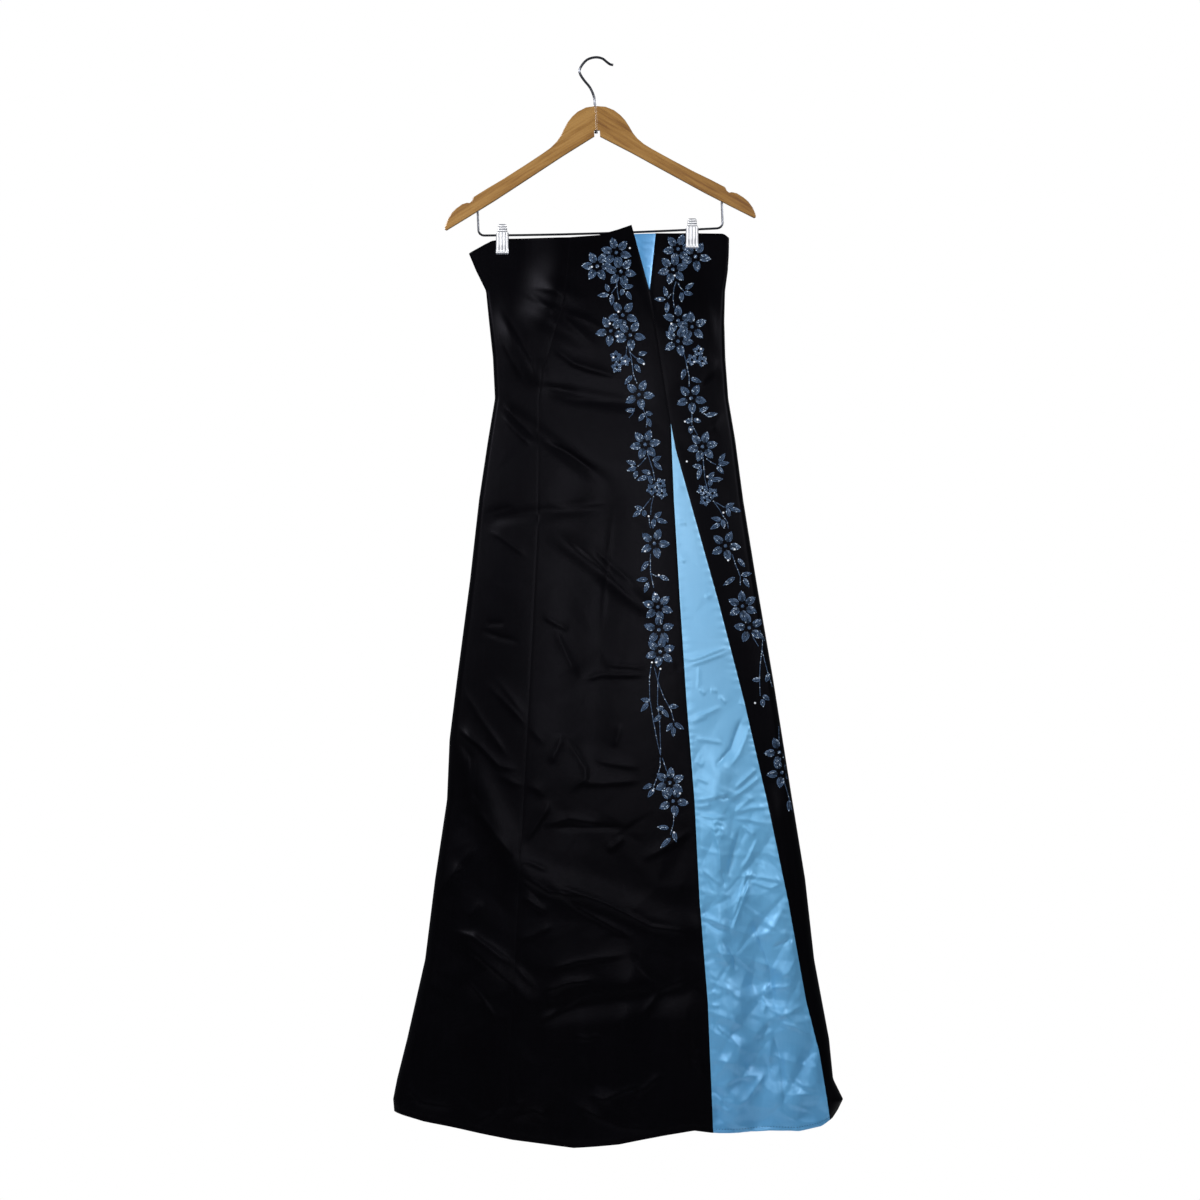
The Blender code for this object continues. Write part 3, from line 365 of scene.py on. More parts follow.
# Beaded vines, on the chart. A flower's row is x, y, number of petals, angle of the first.
FLOWERS_LEFT = (
    (617.4, 253.4, 6, -14), (598.3, 267.2, 6, -2), (622.1, 272.7, 6, -10), (624, 316.3, 5, -20),
    (612, 332.2, 5, -25), (631.4, 336.3, 5, -12), (640.3, 396, 5, -5), (646.4, 446, 6, 10),
    (655.6, 545.2, 5, -3), (658.9, 608.7, 6, -17), (660, 631.5, 5, 18), (661.3, 653.5, 6, 20),
    (670.8, 784, 6, 25), (674.2, 802.4, 5, -8),
)
FLOWERS_RIGHT = (
    (679.5, 249, 6, 10), (697.1, 256.6, 5, -10), (674.2, 269.7, 6, 15), (679.5, 321.4, 5, 18),
    (693.5, 327.8, 5, 25), (679.3, 342.4, 5, -2), (692.5, 399.5, 5, -12), (703.8, 448, 6, 12),
    (726.8, 547.5, 5, -5), (744, 607.8, 6, -25), (750.6, 629.5, 5, 30), (780.8, 754.3, 5, 40),
    (783.3, 774.7, 5, 45),
)
ROSETTES_LEFT = (
    (616.8, 357.8), (618, 368.6), (626.3, 361.8), (661.7, 485.3), (653.1, 491), (663.1, 494.9),
)
ROSETTES_RIGHT = (
    (699.9, 352), (693.3, 361), (703.5, 362.2), (703.8, 492), (713.8, 494.9), (706.3, 502),
)
STEMS_LEFT = (
    ((618.7, 282.5), (617, 288.2), (613, 294)),
    ((618.1, 286), (618.7, 292.8), (620.1, 300.3)),
    ((621.6, 284.2), (624.5, 288.2), (627.9, 290.5)),
    ((627.9, 348), (627.3, 354.8)),
    ((630.2, 350.2), (632.5, 359.4), (633.6, 367.5), (634.6, 375.5), (638.2, 384.7)),
    ((631.3, 353.7), (635.9, 358.3), (641.7, 361.7)),
    ((635.4, 410), (633.6, 415.7), (629.6, 419.7)),
    ((643.8, 408.7), (646.6, 415.6), (648.9, 421.3), (647.2, 429.3)),
    ((647.2, 459.1), (642.6, 464.9), (639.2, 467.7)),
    ((648.9, 455.7), (652.4, 466), (654.7, 474), (655.8, 482.1)),
    ((654.7, 498.1), (652.4, 507.3), (651.8, 516.5)),
    ((651.8, 500.4), (643.8, 510.7)),
    ((650.1, 517.6), (650.6, 524.5), (651.8, 530.2)),
    ((651.7, 556.6), (651.5, 566.2), (651.7, 574.7), (654.8, 589.2)),
    ((652.3, 575.3), (657.2, 577.7), (661.4, 578.3)),
    ((652.3, 666.5), (650.5, 681), (650.8, 700), (654.9, 725.3), (658.9, 745.9), (661.8, 757.4)),
    ((660.8, 672.5), (659, 681), (658.6, 705), (660.7, 723), (661.8, 755.1)),
    ((655.4, 668.9), (659, 683.4), (665, 699.1), (672, 711.5), (675, 723)),
    ((661.2, 759.7), (661.2, 767.7), (658.4, 778.1), (654.3, 788.4)),
    ((663.5, 759.7), (665.8, 766.6), (667.6, 772.3)),
    ((674.4, 812.5), (674.8, 819.4), (674.4, 825.1), (671, 836.6)),
)
STEMS_RIGHT = (
    ((677.3, 282.5), (675.2, 289.4), (674.4, 299.7), (675.6, 308.9)),
    ((672.7, 294.5), (670.4, 297.4), (669.2, 299.7)),
    ((679.6, 283.6), (681.9, 288.2), (684.7, 291.1)),
    ((684.2, 350.2), (687, 361.7), (688.8, 369.8), (690.5, 377.8), (690.5, 388.1)),
    ((700.8, 409.4), (703.7, 414), (708.3, 416.3)),
    ((692.5, 407.5), (693.3, 417.8), (693.1, 425.9), (698.8, 436.2)),
    ((704.5, 459.1), (705.1, 469.4), (706.3, 480.9), (709.1, 491.2)),
    ((708, 460.3), (712.6, 463.7), (717.7, 466)),
    ((714.9, 502.7), (720.6, 510.7), (724, 516.5), (728.6, 523.3), (729.8, 530.2)),
    ((717.2, 503.9), (724, 507.9), (728.6, 509.6)),
    ((733.9, 556.6), (736.9, 566.2), (739.3, 571.7), (741.7, 578.3), (741.7, 586.8)),
    ((754.4, 638.7), (759.8, 647.8)),
    ((761.6, 632.7), (764.1, 642.3), (763.5, 652), (761.6, 666.5), (761, 682.2), (761.6, 697.9)),
    ((762.9, 635.1), (767.7, 645.9), (771.3, 660.4), (773.7, 681), (776.7, 699.1),
     (780.1, 720.7), (780.6, 742.5)),
    ((763.5, 652), (766.5, 664), (770.1, 677.3), (773.7, 688.2)),
    ((779.5, 706.9), (782.4, 723), (785.2, 742.5)),
    ((785.2, 782.7), (788.1, 791.8), (790.4, 799.9), (792.7, 809.1)),
)
# A leaf's row is x and y of its middle, the angle of its tip, and its length
LEAVES_LEFT = (
    (608.4, 288.8, 115, 7), (604.4, 296.3, 185, 10), (613, 301, -92, 10),
    (630.2, 287.7, 10, 7.5), (623.3, 293.4, -110, 6), (630.2, 296.8, -60, 8.5),
    (644, 354.8, 10, 7.5), (642.3, 362.6, -30, 8.5), (638.8, 369.8, -55, 9),
    (629.6, 381.2, -130, 10), (631.3, 411.7, 180, 8), (650.6, 415, -10, 6),
    (642.6, 419, -125, 8), (650.4, 424.2, -70, 8), (632.3, 464.3, 160, 9),
    (632.9, 470.6, 200, 9), (636.9, 476.3, -100, 7), (658.1, 460.3, 30, 8.5),
    (659.2, 467.7, -45, 10), (647.2, 473.5, 165, 8), (643.8, 479.8, 200, 11),
    (651.8, 481.5, -80, 8), (639.7, 509.6, 160, 7), (638, 515.3, -140, 9),
    (645.5, 515.3, -80, 6), (659.2, 516.5, 40, 8), (663.3, 522.8, -15, 10),
    (654.7, 525.1, -95, 9), (645.7, 568, -125, 11), (643.3, 581.3, 185, 10),
    (647.5, 589.2, -110, 10), (665.6, 579.8, -25, 8.5), (646.3, 701.5, 170, 8),
    (645.7, 708.7, -130, 10), (661.2, 709.8, 180, 7), (666.4, 714.9, -50, 9),
    (658.4, 720, -140, 9), (675, 708, 0, 8), (670.4, 728.7, -125, 9),
    (674.4, 733.3, -90, 9), (680.2, 727.6, -35, 10), (648.6, 787.8, 205, 9),
    (652.1, 794.1, -125, 10), (664.1, 828.6, 175, 10), (675.8, 837.8, -75, 10),
    (666.4, 844.1, -135, 12.5),
)
LEAVES_RIGHT = (
    (666.7, 292.3, 105, 9.5), (661.2, 300.3, 180, 9.5), (668.3, 308.9, -95, 10),
    (691.1, 286.5, 35, 9.5), (689.9, 294, -10, 8.5), (683, 298, -90, 8.5),
    (684.7, 375.5, -105, 10), (697.4, 381.2, -20, 10), (705.4, 410.5, 25, 9),
    (712.9, 415.7, 10, 11), (689.6, 422.4, -150, 6), (698.8, 421.9, -20, 7),
    (691.9, 431.6, -90, 7), (723.5, 459.1, 55, 9.5), (725.2, 464.9, 10, 10),
    (721.7, 471.2, -50, 9), (698.2, 467.7, 175, 8), (700.5, 475.2, -105, 11),
    (712.6, 476.9, 50, 8), (718.3, 480.9, 5, 11), (711.4, 484.9, -100, 7),
    (731.5, 506.7, 25, 8), (737.2, 511.3, -15, 10), (729.8, 514.2, -80, 8),
    (717.7, 520.5, 170, 9), (716.6, 527.9, 210, 10), (724.6, 525.6, -80, 8),
    (742.9, 564.4, -50, 9.5), (747.8, 575.9, 10, 9.5), (747.8, 584.3, -60, 9.5),
    (730.2, 583.1, -145, 13), (757.4, 681.6, 185, 7), (768.9, 679.8, -110, 8),
    (764.1, 705.1, -80, 7), (767.7, 699.7, -40, 7), (790.4, 807.9, -92, 10),
    (794.4, 810.2, -75, 10),
)
SEQUINS_LEFT = (
    (611, 325), (618.7, 337.6), (619.6, 313), (614.6, 358.7), (626.4, 362.5), (645, 365.3),
    (649.8, 518), (646.2, 553), (660, 576.9), (656.5, 596), (649.5, 606.5), (671, 652),
    (653, 664), (657.5, 664), (661.5, 670.5), (654, 791.8), (675, 833.7), (681, 794.7),
    (593, 268), (631, 249),
)
SEQUINS_RIGHT = (
    (672.5, 325), (702.3, 350), (695.5, 363), (661, 300.5), (686.2, 423), (698.8, 421),
    (691.9, 431), (708.6, 478.1), (724.6, 514.2), (736, 551), (729.3, 562), (756.2, 704.9),
    (688, 463), (676, 276),
)
PETAL_START, PETAL_LENGTH, PETAL_WIDTH = 0.0058, 0.0164, 0.0104
VEIN_SHARE, VEIN_HALF = 0.44, 0.0026
PETAL_BORDER = 0.0009
PETAL_GAIN, PETAL_RISE, PETAL_FALL = 1.435, 0.66, 0.92
ROSETTE_START, ROSETTE_LENGTH, ROSETTE_WIDTH = 0.0018, 0.0068, 0.0056
LEAF_WIDTH, LEAF_STRETCH = 0.0064, 1.12
BEAD_RADIUS, BEAD_PITCH, BEAD_MARGIN = 0.00086, 0.00184, 0.000516
STEM_BEAD_RADIUS, STEM_BEAD_PITCH = 0.00070, 0.00185
CENTRE_BEAD_RADIUS, RING_BEAD_RADIUS, CENTRE_RING = 0.001045, 0.0008075, 0.0018
PATCH_LIFT, PATCH_DOME = 0.0003, 0.0007
BEAD_LIFT, RING_LIFT, STEM_LIFT = 0.0005, 0.00035, 0.0002
BEAD_INSET = 0.0035
# Bead tones at random, and the share of beads given a painted glint
BEAD_TONES, PAINTED_GLINT_SHARE, BEAD_SEED = (0.10, 0.80), 0.13, 5
BEAD_SIDES, BEAD_RINGS, BEAD_TWIST = 6, (48, 0), 1 / 50
PATCH_ROWS, PATCH_COLUMNS = 7, 5
RING_BEADS, ROSETTE_PETALS = 6, 5
ROSETTE_FIRST, ROSETTE_DRIFT = 18, 7
SEQUIN_RADIUS, SEQUIN_HEIGHT, SEQUIN_LIFT = 0.0015, 0.0009, 0.0011
SEQUIN_SIDES, SEQUIN_TIP, SEQUIN_SEED = 8, 0.12, 8
SEQUIN_PROFILE = ((1.0, 0.0), (0.92, 0.35), (0.5, 1.0))

# Hanger, in its own frame: x from the joint, z from the top of the hump
HANGER_TOP_DROP = 0.0686
HANGER_TILT = math.radians(2.3)
BAR_HALF_WIDTH = 0.175
BAR_DROP_LEFT, BAR_DROP_RIGHT, BAR_SAG = 0.1782, 0.1815, 0.0022
CLIP_PLACES = {"left": -0.1410, "right": 0.1310}
ARM_SLOPE = math.radians(31)
GLUE = {
    "half_width": 0.0005, "top": -0.0028, "bottom": -0.0342, "inner": 0.0030, "outer": 0.00606,
}

# Clip plates, in a frame at the bar's middle line
JAW = {
    "z": (0.0150, 0.0142, 0.0052, 0.0030, -0.0142, -0.0215, -0.0275),
    "y": (0.0084, 0.0084, 0.0064, 0.0052, 0.0042, 0.0027, 0.0027),
    "half_width": (0.0046, 0.0058, 0.0068, 0.0090, 0.0090, 0.0090, 0.0088),
    "edge_turn": (0.0, 0.0004, 0.0008, 0.0026, 0.0016, 0.0, 0.0),
}
JAW_BOTTOM = -0.0275
JAW_WALL, PLATE_WALL = 0.0010, 0.0007
EAR_TOP, EAR_BOTTOM, EAR_RIBS, EAR_RIB_HEIGHT = 0.0146, 0.0046, 3, 0.00075
FLUTES, FLUTE_HEIGHT = 4, 0.00075
FLUTE_TOP, FLUTE_END, FLUTE_POWER = 0.0030, -0.0235, 0.6
EAR_FADE, FLUTE_FADE, BOTTOM_FADE = 0.0006, 0.0012, 0.003
# Inset of the toothed bottom and where it turns dark, then the tones of the dark bottom and of the
# plain plate.
BOTTOM_INSET, BOTTOM_DARK_FROM = 0.0006, 0.2
DARK_CREST, PLAIN_CREST = 0.1, 0.7
TOOTH_HEIGHT, TEETH = 0.0011, 6
JAW_ACROSS, JAW_DOWN = 49, 86
COIL_RADIUS, COIL_WIRE, COIL_LENGTH, COIL_TURNS = 0.0034, 0.00075, 0.0105, 6

# Stitching
STITCHES, STITCH_MARGIN, STITCH_HALF = 46, 0.02, 0.42
STITCH_RADIUS, STITCH_LIFT, THREAD_SIDES, THREAD_TIP = 0.00045, 0.00027, 6, 0.2
HEM_DEPTH, HEM_GROOVE, HEM_GROOVE_WIDTH = 0.0048, 0.0007, 0.0016

# Camera and stage
CAMERA_DISTANCE = 6.0
FRAME_WIDTH = 1.7112
FRAME_CENTRE = (0.0062, -0.7760)
GOWN_STAND = 0.03
SENSOR = 36.0
FLOOR_DROP, FLOOR_RADIUS, FLOOR_SIDES = 1.80, 1.05, 96
ROOM_SHADES = ((0.0, (0.04, 0.04, 0.045)), (1.0, (0.24, 0.25, 0.27)))
LIGHTS_AIM = Vector((0.0, 0.0, -0.75))
# Softboxes: place, size and power
SOFTBOXES = {
    "key": ((-1.5, -1.2, 0.40), 0.45, 39),
    "fill": ((1.6, -1.3, 0.20), 0.5, 19),
    "front": ((0.0, -1.7, -0.62), 0.5, 5.0),
    "back_left": ((-1.3, 2.4, 0.40), 0.7, 36),
    "back_right": ((1.4, 2.6, 0.20), 0.7, 26),
}

# Working values: where the search for an edge of the cloth starts and how often it is repeated,
# the cells after which noise repeats, and the angle from which an edge is drawn sharp
NECK_GUESS, HEM_GUESS, EDGE_REPEATS = 0.26, 1.52, 60
NOISE_CELLS = 61
SHARP_ANGLE = math.radians(60)


# Small helpers


def through(xs, ys, at):
    """A smooth curve through the points (xs, ys), read at `at`, level beyond its ends."""
    xs, ys = np.array(xs, float), np.array(ys, float)
    slopes = np.gradient(ys, xs)
    held = np.clip(np.asarray(at, float), xs[0], xs[-1])
    i = np.clip(np.searchsorted(xs, held) - 1, 0, len(xs) - 2)
    width = xs[i + 1] - xs[i]
    t = (held - xs[i]) / width
    return (
        (2 * t**3 - 3 * t**2 + 1) * ys[i]
        + (t**3 - 2 * t**2 + t) * width * slopes[i]
        + (3 * t**2 - 2 * t**3) * ys[i + 1]
        + (t**3 - t**2) * width * slopes[i + 1]
    )


def eased(value, full, none):
    """1 up to `full`, then falling smoothly to 0 at `none`."""
    t = np.clip((none - value) / (none - full), 0.0, 1.0)
    return t * t * (3 - 2 * t)


def bell(off, width):
    """1 on a line, falling away smoothly to both of its sides."""
    return np.exp(-((off / width) ** 2))


def unit(vectors):
    return vectors / np.linalg.norm(vectors, axis=-1, keepdims=True)


def seam_x(table, drop):
    return np.interp(drop, table["drop"], table["x"])


def facing(cloth):
    """The way along y that the outside of this cloth faces."""
    return 1 if cloth == "back" else -1


def from_chart(points):
    """Chart points as (x, drop)."""
    return (np.asarray(points, float) - CHART_HOOK) * CHART_STEP


def noise(x, y, seed):
    """Smooth noise from -1 to 1, whose cells are one unit wide."""
    values = np.random.default_rng(seed).uniform(-1, 1, (NOISE_CELLS, NOISE_CELLS))
    i, j = np.floor(x).astype(int), np.floor(y).astype(int)
    u, v = x - i, y - j
    u, v = u * u * (3 - 2 * u), v * v * (3 - 2 * v)
    i0, i1 = i % NOISE_CELLS, (i + 1) % NOISE_CELLS
    j0, j1 = j % NOISE_CELLS, (j + 1) % NOISE_CELLS
    near = values[i0, j0] * (1 - u) + values[i1, j0] * u
    far = values[i0, j1] * (1 - u) + values[i1, j1] * u
    return near * (1 - v) + far * v


def hanger_point(x, z):
    """A point of the hanger's own frame, in the part's frame, as (x, z)."""
    cos, sin = math.cos(HANGER_TILT), math.sin(HANGER_TILT)
    return x * cos - z * sin, x * sin + z * cos - HANGER_TOP_DROP


def bar_drop(x):
    level = np.interp(x, (-BAR_HALF_WIDTH, BAR_HALF_WIDTH), (BAR_DROP_LEFT, BAR_DROP_RIGHT))
    return float(level + BAR_SAG * (1 - (x / BAR_HALF_WIDTH) ** 2))


def clip_centres():
    return {name: hanger_point(x, -bar_drop(x)) for name, x in CLIP_PLACES.items()}


# The gown's form


def section(column, drop):
    if column in ("left", "right"):
        return np.interp(drop, SECTIONS["drop"], SECTIONS[column])
    return through(SECTIONS["drop"], SECTIONS[column], drop)


def x_across(q, drop):
    """x at q, from -1 at the left side seam to 1 at the right one; the folds take the ends."""
    left, right, fold = (section(c, drop) for c in ("left", "right", "fold"))
    turn = np.clip((1 - np.abs(q)) / (1 - FOLD_SHARE), 0, 1) * math.pi / 2
    inset = fold * (1 - np.cos(turn))
    middle = left + fold + (q + FOLD_SHARE) / (2 * FOLD_SHARE) * (right - left - 2 * fold)
    return np.where(q < -FOLD_SHARE, left + inset, np.where(q > FOLD_SHARE, right - inset, middle))


def q_at(x, drop):
    """The q whose x is this, where the cloth lies flat or turns into a side fold."""
    left, right, fold = (section(c, drop) for c in ("left", "right", "fold"))
    flat = (x - left - fold) / (right - left - 2 * fold) * 2 * FOLD_SHARE - FOLD_SHARE
    inset = np.clip(np.minimum(x - left, right - x), 0, fold)
    turned = 1 - (1 - FOLD_SHARE) * np.arccos(1 - inset / fold) / (math.pi / 2)
    return np.where(flat < -FOLD_SHARE, -turned, np.where(flat > FOLD_SHARE, turned, flat))


def pinch(x, drop):
    """1 where a clip presses front and back together, 0 clear of it."""
    total = np.zeros_like(x)
    for centre_x, centre_z in clip_centres().values():
        across = np.maximum(np.abs(x - centre_x) - PINCH_FLAT, 0) / PINCH_ACROSS
        down = np.maximum(drop + centre_z + JAW_BOTTOM, 0) / PINCH_BELOW
        total = np.maximum(total, eased(np.hypot(across, down), PINCH_FULL, 1.0))
    return total


def folds_at(folds, x, drop):
    """Height of the soft ridges and troughs."""
    total = np.zeros_like(x)
    for x0, d0, x1, d1, width, height in zip(*folds.values()):
        run, fall = x1 - x0, d1 - d0
        length = math.hypot(run, fall)
        share = ((x - x0) * run + (drop - d0) * fall) / length**2
        off = ((x - x0) * fall - (drop - d0) * run) / length
        beyond = np.maximum(-share, share - 1) * length
        total += height * bell(off, width) * eased(beyond, -FOLD_FADE, FOLD_FADE)
    return total


def ridge(x, drop, path, width, lean):
    """Height share of one crease along a path, tapering at both ends."""
    nearest = np.full(x.shape, np.inf)
    signed = np.zeros(x.shape)
    along = np.zeros(x.shape)
    runs = np.linalg.norm(np.diff(path, axis=0), axis=1)
    total = runs.sum()
    start = 0.0
    for (ax, ad), (bx, bd), run in zip(path[:-1], path[1:], runs):
        ux, ud = (bx - ax) / run, (bd - ad) / run
        t = np.clip((x - ax) * ux + (drop - ad) * ud, 0, run)
        dx, dd = x - ax - t * ux, drop - ad - t * ud
        distance = np.hypot(dx, dd)
        closer = distance < nearest
        nearest = np.where(closer, distance, nearest)
        signed = np.where(closer, np.sign(dx * ud - dd * ux) * distance, signed)
        along = np.where(closer, (start + t) / total, along)
        start += run
    spread = width * (1 + lean * np.sign(signed))
    taper = np.minimum(np.minimum(along, 1 - along) / CREASE_TAPER, 1)
    tent = np.exp(-(np.hypot(nearest, CREASE_ROUND) - CREASE_ROUND) / spread)
    return tent * taper * taper * (3 - 2 * taper)


def creases_at(cloth, x, drop):
    """Height of the finer creases of one cloth."""
    total = np.zeros_like(x)
    for width_mm, height_mm, lean, *chart in CREASES[cloth]:
        path, width = from_chart(chart), width_mm / 1000 * CREASE_SPREAD[cloth]
        reach = CREASE_REACH * width
        low, high = path.min(axis=0) - reach, path.max(axis=0) + reach
        near = (x > low[0]) & (x < high[0]) & (drop > low[1]) & (drop < high[1])
        if near.any():
            total[near] += height_mm / 1000 * ridge(x[near], drop[near], path, width, lean)
    return total


def crumple(x, drop, spacing, neck, hem, seed):
    """Flat facets of uneven size that meet in sharp folds, deeper towards the hem."""
    fine = facets(x, drop, spacing * FINE_SPACING, seed + 1) * FINE_SHARE
    share = np.interp(drop, CRUMPLE_GROWTH["drop"], CRUMPLE_GROWTH["share"])
    depth = neck + (hem - neck) * share
    return (facets(x, drop, spacing, seed) + fine) * depth


def facets(x, drop, spacing, seed):
    """Heights from -1 to 1 at uneven places, joined by flat triangles."""
    pick = np.random.default_rng(seed)
    low, high = np.array(FACET_BOX)
    counts = np.ceil((high - low) / spacing).astype(int) + 1
    grid = np.stack(np.meshgrid(*(np.arange(count) for count in counts), indexing="ij"), axis=-1)
    places = low + spacing * (grid + pick.uniform(-FACET_JITTER, FACET_JITTER, grid.shape))
    heights = pick.uniform(-1, 1, grid.shape[:2])
    flips = pick.random(grid.shape[:2]) < 0.5
    total = np.zeros_like(x)
    first = np.maximum((np.array([x.min(), drop.min()]) - low) / spacing - 2, 0).astype(int)
    last = ((np.array([x.max(), drop.max()]) - low) / spacing + 2).astype(int)
    for i in range(first[0], min(last[0], counts[0] - 1)):
        for j in range(first[1], min(last[1], counts[1] - 1)):
            square = ((i, j), (i + 1, j), (i + 1, j + 1), (i, j + 1))
            turn = int(flips[i, j])
            for step in (0, 2):
                corners = [square[(turn + step + k) % 4] for k in range(3)]
                a, b, c = (places[corner] for corner in corners)
                bottom, top = np.min((a, b, c), axis=0), np.max((a, b, c), axis=0)
                near = (x >= bottom[0]) & (x <= top[0]) & (drop >= bottom[1]) & (drop <= top[1])
                if not near.any():
                    continue
                u, v = x[near] - a[0], drop[near] - a[1]
                size = (b[0] - a[0]) * (c[1] - a[1]) - (c[0] - a[0]) * (b[1] - a[1])
                toward_b = (u * (c[1] - a[1]) - v * (c[0] - a[0])) / size
                toward_c = (v * (b[0] - a[0]) - u * (b[1] - a[1])) / size
                inside = (toward_b >= 0) & (toward_c >= 0) & (toward_b + toward_c <= 1)
                at_a, at_b, at_c = (heights[corner] for corner in corners)
                height = at_a + toward_b * (at_b - at_a) + toward_c * (at_c - at_a)
                total[near] = np.where(inside, height, total[near])
    return total


def shards(x, drop, across, down, lean, seed):
    """0 along the folds between uneven cells of this size, rising to about 1 inside each."""
    cos, sin = math.cos(lean), math.sin(lean)
    u, v = (x * cos + drop * sin) / across, (drop * cos - x * sin) / down
    jitter = np.random.default_rng(seed).random((NOISE_CELLS, NOISE_CELLS, 2))
    i, j = np.floor(u).astype(int), np.floor(v).astype(int)
    nearest = np.full(u.shape, np.inf)
    second = np.full(u.shape, np.inf)
    for step_i in range(-2, 3):
        for step_j in range(-2, 3):
            shift = jitter[(i + step_i) % NOISE_CELLS, (j + step_j) % NOISE_CELLS]
            away = np.hypot(i + step_i + shift[..., 0] - u, j + step_j + shift[..., 1] - v)
            second = np.minimum(second, np.maximum(nearest, away))
            nearest = np.minimum(nearest, away)
    return second - nearest


def relief(cloth, x, drop):
    """How far the finer creases and crumples lift this cloth."""
    total = creases_at(cloth, x, drop) * CREASE_GAIN[cloth] + crumple(x, drop, **CRUMPLES[cloth])
    if cloth == "blue":
        fade = np.interp(drop, SHARD_FADE, (0, 1))
        for across, down, lean, height, seed in BLUE_SHARDS:
            shard = shards(x, drop, across, down, lean, seed) - SHARD_MIDDLE
            total = total + height * fade * shard
    return total


def surface(cloth, q, drop, seams=()):
    """The outer point at (q, drop). Cloth is black or blue on the front, or back.

    seams are x against drop of the seams that this panel ends at."""
    q, drop = np.broadcast_arrays(np.asarray(q, float), np.asarray(drop, float))
    x = x_across(q, drop)
    left, right, fold = (section(c, drop) for c in ("left", "right", "fold"))
    stand = section("back" if cloth == "back" else "front", drop)
    edge = np.minimum(x - left, right - x)
    rounded = np.sqrt(np.maximum(fold**2 - np.maximum(fold - edge, 0) ** 2, 0))
    across = np.abs(2 * (x - left) / (right - left) - 1)
    depth = rounded + (stand - fold) * (1 - across**BULGE_POWER) * np.minimum(rounded / fold, 1)
    held = pinch(x, drop)
    fine = relief(cloth, x, drop)
    offs = [np.abs(x - seam_x(table, drop)) for table in seams]
    for off in offs:
        fine = fine * (1 - SEAM_HOLD * bell(off, SEAM_HOLD_REACH[cloth]))
    wave = folds_at(BACK_FOLDS if cloth == "back" else FRONT_FOLDS, x, drop) + fine
    depth = depth + wave * (1 - held) * eased(-edge, -SIDE_WAVED, -SIDE_PLAIN)
    depth = depth + (PINCHED_HALF * np.minimum(rounded / fold, 1) - depth) * held
    above_hem = np.interp(x, HEM["x"], HEM["drop"]) - drop
    depth = depth - HEM_GROOVE * bell(above_hem - HEM_DEPTH, HEM_GROOVE_WIDTH)
    for index, off in enumerate(offs):
        wander = WANDER * noise(drop / WANDER_LENGTH, off * 0 + index, WANDER_SEED + index)
        beat = np.sin(2 * math.pi * drop / PUCKER_SPACING + wander)
        depth = depth - GROOVE_DEPTH * bell(off, GROOVE_WIDTH)
        depth = depth + PUCKER_HEIGHT[cloth] * beat * bell(off, PUCKER_REACH) * (1 - held)
    return np.stack([x, facing(cloth) * depth, -drop], axis=-1)


def outward(cloth, q, drop, seams=()):
    """Unit normals of the surface, pointing out of the gown."""
    step_q, step_drop = 2e-3, 5e-4
    low, high = np.maximum(q - step_q, -1), np.minimum(q + step_q, 1)
    across = surface(cloth, high, drop, seams) - surface(cloth, low, drop, seams)
    down = surface(cloth, q, drop + step_drop, seams) - surface(cloth, q, drop - step_drop, seams)
    return unit(np.cross(across, down) * facing(cloth))


def edge_drop(edge, q_of_drop, start):
    """The drops at which columns of cloth meet an edge given as drop against x."""
    drop = start
    for _ in range(EDGE_REPEATS):
        meets = np.interp(x_across(q_of_drop(drop), drop), edge["x"], edge["drop"])
        drop = 0.5 * (drop + meets)
    return drop


def seam(table, sign):
    """A panel's edge as q against drop, clear of the seam by half the gap."""
    offset = sign * SEAM_GAP / 2
    return lambda drop: q_at(seam_x(table, drop) + offset, drop)


def side_seam(sign):
    """The edge at a side seam, just short of the middle plane round the fold."""

    def at(drop):
        angle = SEAM_GAP / 2 / section("fold", drop)
        return sign * (1 - (1 - FOLD_SHARE) * angle / (math.pi / 2))

    return at


# Meshes


def placed(name, data):
    """A new object in the scene."""
    thing = bpy.data.objects.new(name, data)
    bpy.context.scene.collection.objects.link(thing)
    return thing


def new_piece(name, data, material):
    """A new object that rides on the gown's body."""
    data.materials.append(material)
    thing = placed(name, data)
    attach(thing, GOWN_BODY)
    return thing


def new_object(name, mesh, material):
    """A new piece whose mesh is smooth but for its sharp edges."""
    mesh.shade_smooth()
    mesh.set_sharp_from_angle(angle=SHARP_ANGLE)
    return new_piece(name, mesh, material)


def mesh_of(name, points, faces):
    mesh = bpy.data.meshes.new(name)
    mesh.from_pydata(np.asarray(points, float).reshape(-1, 3).tolist(), [],
                     [tuple(face) for face in faces])
    mesh.validate()
    return mesh


def quads(index):
    """The faces of a grid of point numbers."""
    a, b, c, d = index[:-1, :-1], index[:-1, 1:], index[1:, 1:], index[1:, :-1]
    return np.stack([a, b, c, d], axis=-1).reshape(-1, 4)


